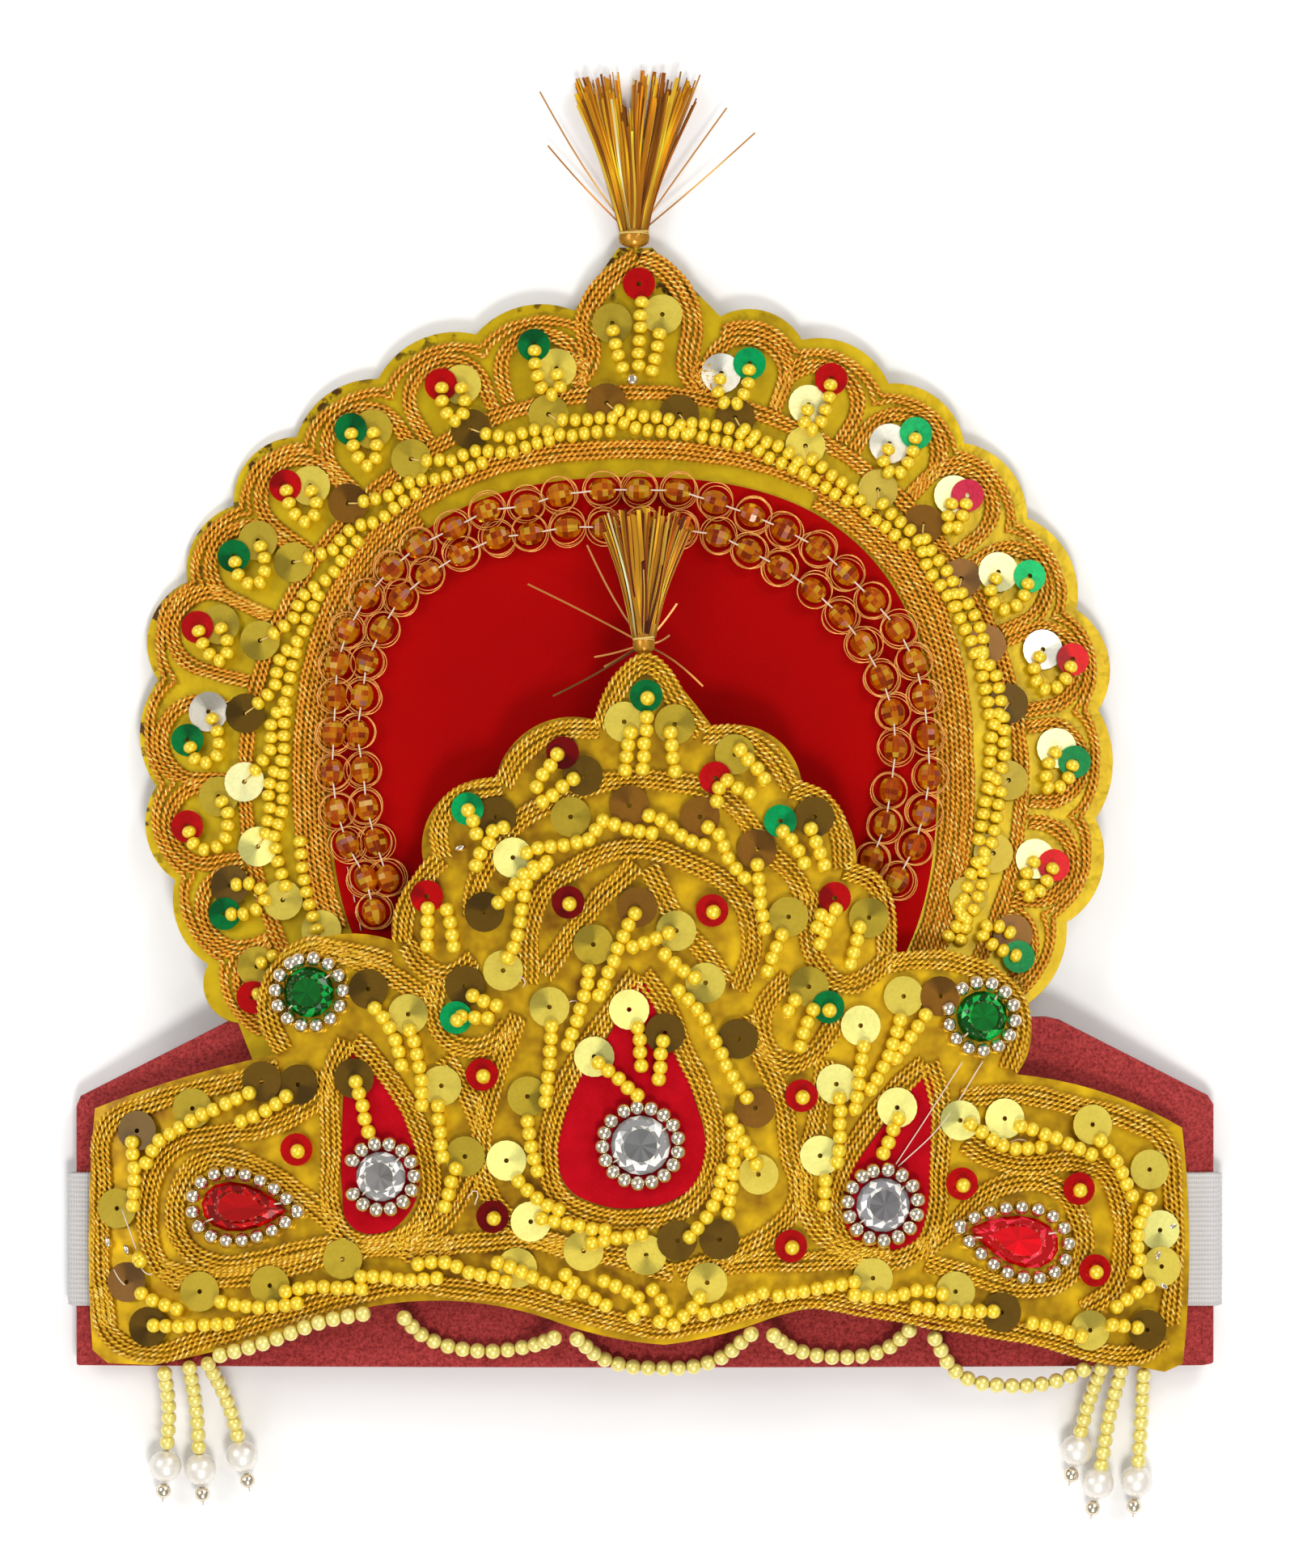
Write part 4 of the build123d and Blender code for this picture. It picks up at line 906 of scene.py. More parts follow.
ROW_GOLD = [
    (582, 530, "dark"), (678, 512, "olive"), (750, 498, "brown"), (840, 512, "dark"), (909, 516, "dark"),
    (996, 551, "pale"), (1086, 605, "olive"), (1142, 648, "brown"), (1189, 715, "brown"), (1220, 797, "brown"),
    (1247, 870, "dark"), (1247, 965, "olive"), (1228, 1055, "olive"), (1197, 1108, "olive"),
    (508, 567, "olive"), (430, 622, "brown"), (362, 695, "olive"), (321, 792, "olive"), (303, 882, "dark"),
    (302, 967, "cream"), (319, 1047, "bright"), (350, 1113, "pale"), (398, 1150, "pale"),
]
DISC_COLOUR = [
    (660, 426, "green"), (545, 475, "red"), (433, 530, "green"), (352, 600, "red"), (288, 687, "green"),
    (243, 775, "red"), (231, 915, "green"), (231, 1022, "red"), (278, 1130, "green"), (313, 1233, "red"),
    (927, 449, "leaf"), (1028, 468, "red"), (1133, 535, "leaf"), (1197, 612, "rose"), (1274, 712, "leaf"),
    (1327, 815, "red"), (1329, 942, "green"), (1303, 1070, "red"), (1259, 1183, "green"), (790, 350, "red"),
]
SCRATCH = (0.8, 0.76, 0.66, 1)
GLITTER = (0.58, 0.56, 0.54, 1)


def sequin_mould(name, radius):
    """Round film disc, cupped a little, with its hole."""
    disc = begun(bpy.ops.mesh.primitive_circle_add, name, vertices=SEQUIN_SIDES, radius=radius * MM,
                 fill_type="NGON")
    open_all()
    bpy.ops.mesh.inset(thickness=(radius - SEQUIN_HOLE) * MM)
    bpy.ops.mesh.delete(type="FACE")
    pick(lambda at: at.xy.length > 0.5 * radius * MM)
    bpy.ops.transform.translate(value=(0.0, 0.0, SEQUIN_CUP * MM))
    close()
    with_modifier(disc, "SOLIDIFY", thickness=SEQUIN_THICK * MM, offset=0.0)
    return mould_of(disc)


def sew_sequins(name, mould, ground, rows, lift, finish, slot, stands_for):
    """Piece of sequins sewn at places, each a little tilted, with a wedge of painted shade across its film."""
    round_about = np.array([math.atan2(corner.co.y, corner.co.x) for corner in mould.vertices])
    seats, tints = [], []
    for x, y, tone in rows:
        seat = seat_on(ground, (x, y), lift + rng.uniform(-0.1, 0.15), rng.uniform(0, 6))
        seats.append(seat @ Matrix.Rotation(rng.uniform(-SEQUIN_TILT, SEQUIN_TILT), 4, "X"))
        # A wedge of each film is painted darker, as painted reflection of shade, over a small random change of tone.
        wedge = np.clip((np.cos(round_about - rng.uniform(0, math.tau)) - rng.uniform(0.3, 1.2)) / 0.4, 0.0, 1.0)
        tone_and_wedge_shade = rng.uniform(0.9, 1.1) * (1.0 - FILM_SHADE * wedge)
        tints.append(np.column_stack((np.outer(tone_and_wedge_shade, FILM[tone][:3]), np.ones(len(tone_and_wedge_shade)))))
    corners, sides, tints = many(mould, seats, tints)
    piece_of(name, corners, sides, finish, slot, stands_for, tints, False)


gold_film = tinted("gold_film", 0.22, 0.2, SCRATCH, 200.0, 1500.0, 0.05, Specular_IOR_Level=0.25)
colour_film = tinted("colour_film", 0.22, 0.3, GLITTER, 900.0, 2600.0, 0.08, Specular_IOR_Level=0.25)
gold_mould = sequin_mould("gold_sequin", GOLD_SEQUIN)
colour_mould = sequin_mould("colour_sequin", COLOUR_SEQUIN)
sew_sequins("halo_gold_film", gold_mould, on_disc, SCALLOP_GOLD + ROW_GOLD, GOLD_LIFT, gold_film, "gold_sequin",
            ["halo_gold_sequins"])
sew_sequins("halo_colour_film", colour_mould, on_disc, DISC_COLOUR, COLOUR_LIFT, colour_film, "colour_sequin",
            ["halo_colour_sequins"])

# Seed pearls of the disc: short strings that start at each sequin's hole and are sewn down at their far ends. Each
# starts in an outer row and turns into an inner one under the next, and a dipping string hangs in each scallop.
HALO_PEARL = 1.38
PEARL_LENGTH = 0.88
PEARL_PITCH = 2.4
HALO_PEARL_LIFT = 1.6
STRING_PEARLS = 12
STRING_START = 1.4
OUTER_ROW = 68.7
INNER_ROW = 66.1
ROW_TURN = 4.5
ROW_SWELL = 2.8
SWELL_SIDE = math.radians(144)
ROW_ENDS = 1172.0
LAST_STRING = ((392, 1150), (378, 1098), (371, 1040))
STRING_DIP = 46.0
STRING_DROP = 24
STRING_CLEARS = 4.0
LOWEST_HUNG = 1150.0
HANG_FADE = 80.0
HANG_MOST = 0.9
INWARD_LOST = 0.65
SCALLOP_PEARL_LIFT = 2.5
PEAK_STRINGS = (((757, 405), (762, 430), (771, 458)), ((793, 372), (791, 410), (789, 453)),
                ((816, 410), (812, 435), (806, 461)))


def pearl_finish(name, light, dark):
    """Plastic pearl: a lustrous coat over a coloured bead."""
    made = finish_of(name, light, 0.36, 0.3, Coat_Weight=0.9, Coat_Roughness=0.07)
    return mottled(made, light, dark, 350.0, 1600.0, 0.9, 0.04, 0.02)


def strung(ground, places, lift, jitter=0.1):
    """Seats of pearls strung along places in the photograph."""
    points = []
    for x, y, _ in stops_on(drawn_through(places), PEARL_PITCH * PHOTO_SCALE):
        shaken = (x + rng.uniform(-1, 1) * jitter * PHOTO_SCALE, y + rng.uniform(-1, 1) * jitter * PHOTO_SCALE)
        points.append(ground(shaken, lift + rng.uniform(-1, 1) * jitter))
    return seats_along(points)


def string_place(angle, index, start):
    """A string leaves its sequin for the outer row, and turns into the inner one where the next string starts."""
    outer_row = OUTER_ROW + ROW_SWELL * max(0.0, math.cos(3 * (angle - SWELL_SIDE)))
    radius = start + min(1.0, index / 2) * (outer_row - start)
    return round_disc(angle, radius - min(1.0, max(0.0, (index - ROW_TURN) / 2)) * (OUTER_ROW - INNER_ROW))


yellow_pearl = pearl_finish("yellow_pearl", linear(252, 222, 50), linear(230, 187, 14))
halo_mould = bead_mould("halo_pearl", HALO_PEARL, 12, 7, PEARL_LENGTH)
row_seats, stitches, scallop_seats = [], [], []
for x, y, _ in ROW_GOLD[:-1]:
    dx, dy = x - HALO_CENTRE[0], HALO_CENTRE[1] - y
    angle, radius = math.atan2(dy, dx), math.hypot(dx, dy) / PHOTO_SCALE
    places = [string_place(angle - PEARL_PITCH * (index + 0.6) / radius, index, radius - STRING_START)
              for index in range(STRING_PEARLS)]
    shown = [place for place in places if place[1] < ROW_ENDS]
    if len(shown) > 1:
        row_seats += strung(on_disc, shown, HALO_PEARL_LIFT)
        stitches.append([on_disc((x, y), GOLD_LIFT + 0.3), on_disc(shown[0], HALO_PEARL_LIFT)])
row_seats += strung(on_disc, LAST_STRING, HALO_PEARL_LIFT)
copies_of(halo_mould, row_seats, "halo_pearl_strings", yellow_pearl, "yellow_pearl", ["halo_pearl_rows"])
# the coloured sequins are listed from the left side, the gold ones from the right, with the peak's two last
for (x, y, _), (gold_x, gold_y, _) in zip(DISC_COLOUR, SCALLOP_GOLD[PEAK_AFTER:-2] + SCALLOP_GOLD[:PEAK_AFTER]):
    inward = Vector((HALO_CENTRE[0] - x, HALO_CENTRE[1] - y)).normalized()
    hangs = HANG_MOST * min(1.0, max(0.0, (LOWEST_HUNG - y) / HANG_FADE))
    inward = ((1.0 - INWARD_LOST * hangs) * inward + Vector((0.0, hangs))).normalized()
    dip = Vector(((x + gold_x) / 2, (y + gold_y) / 2)) + inward * STRING_DIP
    start = Vector((x, y)) + inward * STRING_CLEARS
    end = Vector((gold_x, gold_y)) + inward * STRING_CLEARS
    hung = [start, start + inward * STRING_DROP, dip, end + inward * STRING_DROP, end]
    scallop_seats += strung(on_disc, hung, SCALLOP_PEARL_LIFT)
for places in PEAK_STRINGS:
    scallop_seats += strung(on_disc, places, SCALLOP_PEARL_LIFT + 0.1)
copies_of(halo_mould, scallop_seats, "scallop_pearls", yellow_pearl, "yellow_pearl")
gold_thread = finish_of("gold_sewing_thread", linear(214, 180, 96), 0.6)
thread_of(stitches, "sequin_stitches", gold_thread, "zari_cord")

# Velvet drops of the brow plate: three pieces of crimson pile cloth, glued on the foil inside their cord borders.
# Each is a laid sheet, cut to its drop.
DROPS = (
    ("centre_velvet_drop",
     ((790, 1213), (757, 1272), (718, 1330), (696, 1389), (690, 1431), (702, 1466), (737, 1486), (781, 1492),
      (835, 1480), (866, 1451), (872, 1410), (857, 1352), (839, 1300), (813, 1255))),
    ("left_velvet_drop",
     ((435, 1303), (427, 1340), (424, 1400), (424, 1470), (433, 1512), (465, 1524), (505, 1500), (520, 1445),
      (512, 1398), (490, 1352), (460, 1320))),
    ("right_velvet_drop",
     ((1145, 1330), (1110, 1368), (1075, 1412), (1050, 1452), (1042, 1495), (1056, 1532), (1095, 1545),
      (1134, 1532), (1147, 1490), (1152, 1430), (1151, 1372))),
)
DROP_VELVET = 0.6
DROP_STOPS = 72
DROP_RINGS = 6
DROP_RIPPLE = 0.1
crimson = finish_of("crimson_velvet", linear(170, 6, 24), 1.0, Sheen_Weight=0.1, Sheen_Roughness=0.4,
                    Specular_IOR_Level=0.1)
mottled(crimson, linear(188, 16, 34), linear(146, 2, 16), 260.0, 5200.0, 1.0, 0.5, 0.1)
for name, outline in DROPS:
    edge = stops_on(drawn_through(outline, closed=True)[:, :2], count=DROP_STOPS, closed=True)
    drop, area = laid_patch(name.replace("_drop", "cloth"), edge, on_brow, SEAM, DROP_VELVET, DROP_RINGS,
                            DROP_RIPPLE)
    settle(drop, crimson, [name])
    wide, high = np.ptp(edge, axis=0) / PHOTO_SCALE * MM

# Zari cord of the brow plate: brighter two-ply metallic thread, couched in four rows round the plate's edge, each
# drop and each paisley, and over the brow in two arches and a tent.
BROW_EDGE = (
    # one run of cord for each scallop of the edge, along the middle of its rows
    ((133, 1640), (124, 1560), (126, 1470), (133, 1392), (190, 1362), (267, 1342), (347, 1322)),
    ((352, 1300), (334, 1262), (334, 1226), (352, 1196), (388, 1176), (436, 1178), (486, 1190)),
    ((498, 1166), (504, 1122), (530, 1080), (548, 1062)),
    ((548, 1062), (545, 1020), (570, 985), (622, 972)),
    ((622, 972), (648, 930), (690, 905), (742, 902)),
    ((742, 902), (760, 860), (783, 828), (797, 822), (812, 828), (836, 866), (868, 908)),
    ((868, 908), (920, 912), (955, 938), (978, 975)),
    ((978, 975), (1014, 990), (1036, 1024), (1042, 1075)),
    ((1042, 1075), (1078, 1090), (1094, 1130), (1094, 1180)),
    ((1094, 1192), (1135, 1186), (1184, 1190), (1226, 1208), (1256, 1240), (1260, 1280), (1246, 1322)),
    ((1186, 1356), (1253, 1352), (1327, 1366), (1400, 1386), (1440, 1412), (1450, 1470), (1452, 1560), (1446, 1640)),
    ((121, 1590), (136, 1650), (188, 1672), (251, 1656), (347, 1626), (443, 1597), (506, 1585), (577, 1592),
     (653, 1602), (714, 1620), (768, 1632), (816, 1640), (864, 1632), (921, 1618), (1000, 1604), (1061, 1612),
     (1122, 1623), (1204, 1637), (1286, 1652), (1359, 1672), (1408, 1674), (1441, 1655)),
)
BROW_INNER = (
    ((653, 1216), (665, 1117), (714, 1071), (791, 1048), (844, 1063), (913, 1109), (929, 1166), (913, 1224)),
    ((642, 1254), (619, 1316), (601, 1373), (596, 1427), (601, 1465), (619, 1495), (684, 1537), (768, 1553),
     (833, 1572)),
    ((917, 1254), (940, 1300), (967, 1365), (975, 1423), (986, 1480), (959, 1518), (902, 1549), (837, 1572)),
    ((585, 1135), (589, 1099), (607, 1063), (638, 1018), (683, 992), (723, 974), (764, 965), (804, 964), (844, 969),
     (875, 974), (902, 992), (925, 1018), (956, 1059), (983, 1086), (996, 1117)),
    ((787, 1067), (730, 1124), (672, 1205)),
    ((802, 1071), (837, 1136), (883, 1193), (898, 1216)),
    ((789, 1203), (753, 1254), (712, 1316), (684, 1384), (678, 1434), (693, 1478), (735, 1501), (795, 1505),
     (844, 1492), (877, 1450), (884, 1404), (869, 1346), (846, 1298), (821, 1239), (795, 1203)),
    ((504, 1166), (523, 1193), (557, 1205), (588, 1185)),
    ((542, 1208), (538, 1254), (554, 1285), (584, 1296), (615, 1285), (630, 1266)),
    ((1001, 1101), (998, 1147), (1013, 1193), (1043, 1216), (1074, 1205), (1100, 1182)),
    ((975, 1205), (944, 1247), (944, 1285), (967, 1312), (1001, 1304), (1028, 1270), (1036, 1247)),
    ((550, 1304), (580, 1354), (596, 1396)),
    ((596, 1427), (546, 1511), (500, 1538), (577, 1534), (661, 1530), (714, 1541)),
    ((1020, 1308), (1009, 1384), (994, 1480), (1017, 1526), (1066, 1545), (1100, 1541)),
    ((883, 1564), (940, 1557), (998, 1557), (1100, 1553)),
    ((353, 1184), (388, 1170), (436, 1184), (481, 1204), (516, 1226), (538, 1244)),
    ((404, 1323), (398, 1352), (372, 1374), (331, 1393), (267, 1403), (219, 1416), (194, 1444), (184, 1483),
     (184, 1530), (197, 1562), (226, 1588)),
    ((417, 1515), (379, 1483), (341, 1454), (290, 1432), (245, 1438), (223, 1470), (216, 1502), (229, 1540),
     (264, 1562), (315, 1559), (366, 1546), (417, 1537)),
    ((197, 1566), (239, 1578), (302, 1578), (379, 1559), (420, 1546), (560, 1537)),
    ((432, 1285), (414, 1323), (411, 1419), (414, 1505), (432, 1530), (475, 1536), (510, 1522), (531, 1490),
     (534, 1451), (521, 1397), (490, 1342), (452, 1298), (438, 1285)),
    ((1148, 1312), (1162, 1366), (1160, 1448), (1155, 1509), (1137, 1542), (1090, 1556), (1042, 1535), (1030, 1486),
     (1043, 1440), (1076, 1385), (1112, 1342), (1144, 1312)),
    ((1192, 1411), (1216, 1427), (1265, 1440), (1327, 1436), (1367, 1452), (1384, 1489), (1388, 1542), (1376, 1591),
     (1339, 1619)),
    ((1135, 1546), (1180, 1513), (1216, 1476), (1261, 1460), (1306, 1468), (1331, 1501), (1339, 1542), (1318, 1578),
     (1265, 1591), (1196, 1574), (1143, 1558)),
)
BROW_EDGE_ROWS = (-1.45, -0.5, 0.5, 1.45)
BROW_INNER_ROWS = (-1.5, -0.5, 0.5, 1.5)
# The brow cord's ply backs carry a painted highlight and its grooves painted shade.
BROW_RIDGE_HIGHLIGHT = linear(255, 218, 60)
BROW_GROOVE_SHADE = linear(186, 124, 8)
for name, routes, rows in (("brow_edge_zari", BROW_EDGE, BROW_EDGE_ROWS),
                           ("brow_inner_zari", BROW_INNER, BROW_INNER_ROWS)):
    cords = [couched(on_brow, beside(places, row * ROW_GAP), seed=number + row)
             for number, places in enumerate(routes) for row in rows]
    zari_piece(name, cords, BROW_RIDGE_HIGHLIGHT, BROW_GROOVE_SHADE, ["front_cords"])

# Stones: flat-backed acrylic with a table and rows of facets, foil-backed; the dark table is painted shade and the
# facets that flash are painted reflection. Five are round and two are drops, each sewn through its rim inside a ring
# of beads.
STONE_SIDES = 16
STONE_CUTS = ((0.9, 1.0, 0.0), (0.75, 0.86, 0.5), (0.65, 0.78, -0.5), (0.7, 0.84, 0.5))
STONES = (
    # name, place, half length, half width, turn, lift, colours of table, dull and bright facets
    ("centre_clear", (792, 1414), 5.6, 5.6, 0.0, 0.9, (112, 112, 112), (150, 150, 150), (250, 250, 248)),
    ("left_clear", (473, 1453), 4.7, 4.7, 0.2, 0.9, (122, 120, 118), (150, 150, 150), (250, 250, 248)),
    ("right_clear", (1090, 1488), 5.1, 5.1, 0.1, 0.9, (110, 108, 110), (146, 146, 150), (250, 250, 248)),
    ("left_green", (384, 1226), 4.8, 4.8, 0.1, 0.15, (0, 88, 28), (0, 68, 18), (16, 160, 66)),
    ("right_green", (1212, 1256), 4.8, 4.8, 0.3, 0.15, (0, 104, 36), (0, 72, 20), (14, 176, 74)),
    ("left_red_drop", (304, 1492), 8.2, 5.0, -0.07, 0.15, (164, 0, 8), (124, 0, 6), (196, 4, 16)),
    ("right_red_drop", (1252, 1531), 8.7, 5.1, 2.9, 0.15, (216, 0, 24), (176, 0, 16), (244, 50, 74)),
)
PEAR_SHARPNESS = 0.75
PEAR_FULLNESS = 1.16
SILVER = 1.45
RING_GAP = 0.2
RING_STOPS = 60
RING_ROUND = (1.0, 1.0)
RING_DROP = (1.3, 1.15)
RING_UNEVEN = 0.15
RINGS = {
    # start and sweep of the bead ring in degrees, and its beads
    "centre_clear": (140.0, 336.0, 17), "left_clear": (200.0, 300.0, 13), "right_clear": (120.0, 340.0, 15),
    "left_green": (118.0, 345.0, 14), "right_green": (150.0, 318.0, 13), "left_red_drop": (10.0, 345.0, 18),
    "right_red_drop": (12.0, 342.0, 18),
}
SEWN_AT = (0.6, 3.7)
STITCH = ((0.84, 0.55), (0.95, 0.35), (1.1, -0.6))
stone_glass = finish_of("stone_painted_flash", WHITE, 0.12, 0.15, Coat_Weight=0.25, Coat_Roughness=0.02,
                        Specular_IOR_Level=0.3)
feed(stone_glass, "Base Color", tint_of(stone_glass))
chrome = finish_of("warm_chrome", linear(240, 230, 210), 0.2, 1.0)
mottled(chrome, linear(250, 242, 224), linear(214, 196, 162), 260.0, 1500.0, 0.7, 0.05, 0.02)
silver_mould = bead_mould("silver_bead", SILVER, 14, 8, 1.0, 0.3)


def drop_shape(turn, half_length, half_width):
    """Point of a stone's outline: a circle, or a drop with its point towards +X."""
    if half_length == half_width:
        return half_length * math.cos(turn), half_width * math.sin(turn)
    narrowing = abs(math.sin(turn / 2)) ** PEAR_SHARPNESS
    return half_length * math.cos(turn), half_width * PEAR_FULLNESS * math.sin(turn) * narrowing


sewing = []
for name, place, half_length, half_width, turned, lift, table, dull, bright in STONES:
    is_round = half_length == half_width
    stone = begun(bpy.ops.mesh.primitive_circle_add, name + "_cut_stone", vertices=STONE_SIDES, radius=1.0,
                  fill_type="NGON")
    for corner in stone.data.vertices:
        x, y = drop_shape(math.atan2(corner.co.y, corner.co.x) % math.tau, half_length, half_width)
        corner.co = Vector((x, y, 0)) * MM
    open_all()
    for rise, shrink, twist in STONE_CUTS:
        bpy.ops.mesh.extrude_region_move(TRANSFORM_OT_translate={"value": (0.0, 0.0, rise * MM)})
        resize(shrink, shrink, 1.0)
        if is_round:
            bpy.ops.transform.rotate(value=twist * math.tau / STONE_SIDES, orient_axis="Z",
                                     center_override=(0.0, 0.0, 0.0))
    bpy.ops.mesh.poke()
    bpy.ops.mesh.select_all(action="SELECT")
    bpy.ops.mesh.quads_convert_to_tris(quad_method="SHORTEST_DIAGONAL")
    bpy.ops.mesh.normals_make_consistent(inside=False)
    close()
    colours = [linear(*tone) for tone in (table, dull, bright)]
    # The tints are painted reflection: the flat table a painted dark at a random depth, and one facet in three a
    # painted flash.
    layer = stone.data.attributes.new("tint", "FLOAT_COLOR", "CORNER")
    for side in stone.data.polygons:
        depth = rng.uniform(0.7, 1.3)
        flat = side.normal.z > 0.999
        tone = [depth * share for share in colours[0]] if flat else colours[rng.choice((1, 1, 2))]
        for corner in side.loop_indices:
            layer.data[corner].color = tone
    stone.data.transform(seat_on(on_brow, place, lift, turned))
    settle(stone, stone_glass, [name + "_stone"])
    start, sweep_angle, beads = RINGS[name]
    out_long, out_wide = [share * (RING_GAP + SILVER) for share in (RING_ROUND if is_round else RING_DROP)]
    outer = [drop_shape(math.radians(start + sweep_angle * step / RING_STOPS) % math.tau, half_length + out_long,
                        half_width + out_wide) for step in range(RING_STOPS + 1)]
    seat = seat_on(on_brow, place, lift + SILVER, turned)
    stops = [seat @ (Vector((x, y, rng.uniform(-RING_UNEVEN, RING_UNEVEN))) * MM)
             for x, y in stops_on(outer, count=beads)]
    copies_of(silver_mould, seats_along(stops), name + "_chrome_beads", chrome, "silver_bead", [name + "_beads"])
    for turn in SEWN_AT:
        x, y = drop_shape(turn, half_length, half_width)
        sewing.append([seat @ (Vector((x * share, y * share, height)) * MM) for share, height in STITCH])
thread_of(sewing, "stone_sewing", white_thread, "white_pearl")

# Sequins of the brow plate: large ones in gold tones and small red and green ones, sewn all over the plate. Most
# have a pearl string from the hole, and some small ones a single pearl.
BROW_GOLD = [
    (772, 893, "pale"), (834, 896, "olive"), (721, 959, "dark"), (908, 933, "olive"), (615, 1010, "dark"),
    (1006, 1010, "dark"), (706, 1010, "olive"), (778, 996, "brown"), (865, 1010, "brown"), (635, 1060, "bright"),
    (600, 1127, "dark"), (623, 1199, "pale"), (576, 1218, "dark"), (935, 1050, "brown"), (974, 1133, "olive"),
    (1073, 1134, "olive"), (999, 1219, "olive"), (788, 1121, "brown"), (734, 1167, "olive"), (836, 1150, "pale"),
    (872, 1214, "pale"), (680, 1244, "pale"), (778, 1247, "bright"), (822, 1276, "dark"), (735, 1305, "bright"),
    (653, 1354, "olive"), (912, 1283, "dark"), (933, 1368, "brown"), (937, 1450, "pale"), (627, 1433, "bright"),
    (657, 1508, "bright"), (722, 1544, "pale"), (799, 1549, "pale"), (837, 1531, "dark"), (889, 1530, "dark"),
    (874, 1583, "pale"), (640, 1565, "pale"), (457, 1222, "dark"), (506, 1253, "pale"), (439, 1332, "dark"),
    (547, 1341, "pale"), (576, 1428, "olive"), (1063, 1267, "bright"), (1033, 1339, "bright"), (1013, 1427, "bright"),
    (1108, 1368, "bright"), (1116, 1231, "pale"), (1161, 1231, "brown"), (1186, 1384, "bright"),
    (1241, 1382, "bright"), (1350, 1390, "pale"), (1421, 1446, "pale"), (1434, 1521, "bright"),
    (1436, 1566, "pale"), (1418, 1644, "dark"), (1347, 1644, "pale"), (1237, 1621, "dark"), (1180, 1595, "pale"),
    (1078, 1578, "pale"), (170, 1398, "dark"), (239, 1370, "olive"), (325, 1336, "dark"), (370, 1340, "dark"),
    (145, 1494, "olive"), (157, 1585, "brown"), (184, 1640, "dark"), (248, 1596, "olive"), (335, 1588, "olive"),
    (425, 1555, "olive"),
]
BROW_COLOUR = [
    (799, 861, "green"), (696, 931, "wine"), (884, 962, "red"), (579, 1000, "leaf"), (964, 1015, "leaf"),
    (529, 1108, "red"), (1031, 1110, "red"), (565, 1257, "leaf"), (1023, 1244, "green"), (703, 1115, "wine"),
    (880, 1125, "red"), (597, 1327, "red"), (990, 1353, "red"), (368, 1420, "red"), (1188, 1462, "red"),
    (1333, 1469, "red"), (610, 1502, "wine"), (977, 1538, "red"), (1353, 1570, "red"),
]
sew_sequins("brow_gold_film", gold_mould, on_brow, BROW_GOLD, GOLD_LIFT, gold_film, "gold_sequin",
            ["front_gold_sequins"])
sew_sequins("brow_colour_film", colour_mould, on_brow, BROW_COLOUR, COLOUR_LIFT, colour_film, "colour_sequin",
            ["front_colour_sequins"])

# Pearl strings of the brow plate: short strings of seed pearls, each sewn down at its ends, over cord and sequins.
# The centred pearls are sewn one by one in the small sequins.
BROW_PEARL = 1.42
BROW_PEARL_LIFT = 2.4
BROW_JITTER = 0.14
BAND_STRINGS = (
    ((176, 1599), (187, 1606), (219, 1618)), ((188, 1639), (240, 1638), (287, 1635)),
    ((271, 1608), (323, 1615), (373, 1608)), ((351, 1597), (371, 1591), (453, 1591)),
    ((444, 1576), (478, 1577), (510, 1581), (544, 1578)), ((513, 1561), (549, 1559), (581, 1570), (632, 1583)),
    ((615, 1559), (646, 1569), (673, 1582), (703, 1596)), ((698, 1573), (724, 1594), (750, 1611)),
    ((745, 1581), (775, 1593), (795, 1617), (783, 1626)), ((807, 1591), (824, 1619), (815, 1631)),
    ((866, 1601), (845, 1624), (833, 1635)), ((869, 1623), (899, 1613), (944, 1594)),
    ((959, 1600), (995, 1593), (1059, 1583)), ((1052, 1598), (1103, 1602), (1133, 1594), (1166, 1598)),
    ((1129, 1614), (1180, 1619), (1229, 1620)), ((1274, 1635), (1306, 1641), (1337, 1652)),
)
CENTRE_STRINGS = (
    ((651, 1054), (670, 1048), (702, 1044), (734, 1033), (741, 1016), (773, 1025), (807, 1030)),
    ((799, 1008), (816, 1012), (841, 1032), (874, 1046)), ((873, 1021), (887, 1031), (900, 1060), (921, 1088)),
    ((679, 1065), (654, 1088), (647, 1114), (640, 1160), (625, 1190)), ((936, 1067), (938, 1100), (946, 1150)),
    ((967, 1153), (947, 1201)), ((787, 1127), (772, 1154), (759, 1186), (740, 1233)),
    ((731, 1194), (717, 1249), (701, 1297)), ((827, 1153), (781, 1171)), ((819, 1178), (860, 1210)),
    ((837, 1221), (862, 1247), (886, 1290), (906, 1333), (925, 1358)), ((683, 1262), (680, 1314), (674, 1366)),
    ((652, 1383), (665, 1448)), ((642, 1457), (665, 1480), (692, 1494)), ((670, 1505), (749, 1519)),
    ((730, 1535), (795, 1523)), ((902, 1380), (920, 1410), (936, 1440)), ((905, 1400), (906, 1450), (900, 1500)),
    ((895, 1440), (880, 1490), (850, 1530)), ((789, 1268), (793, 1317)), ((819, 1284), (815, 1335)),
    ((739, 1311), (790, 1354)), ((441, 1333), (457, 1400)), ((1110, 1381), (1091, 1425)),
    ((692, 931), (682, 945), (671, 958), (664, 975)), ((715, 962), (706, 965), (693, 975), (681, 986), (666, 995)),
    ((780, 904), (776, 930), (772, 954)), ((801, 885), (797, 920), (794, 954)), ((828, 906), (834, 954)),
)
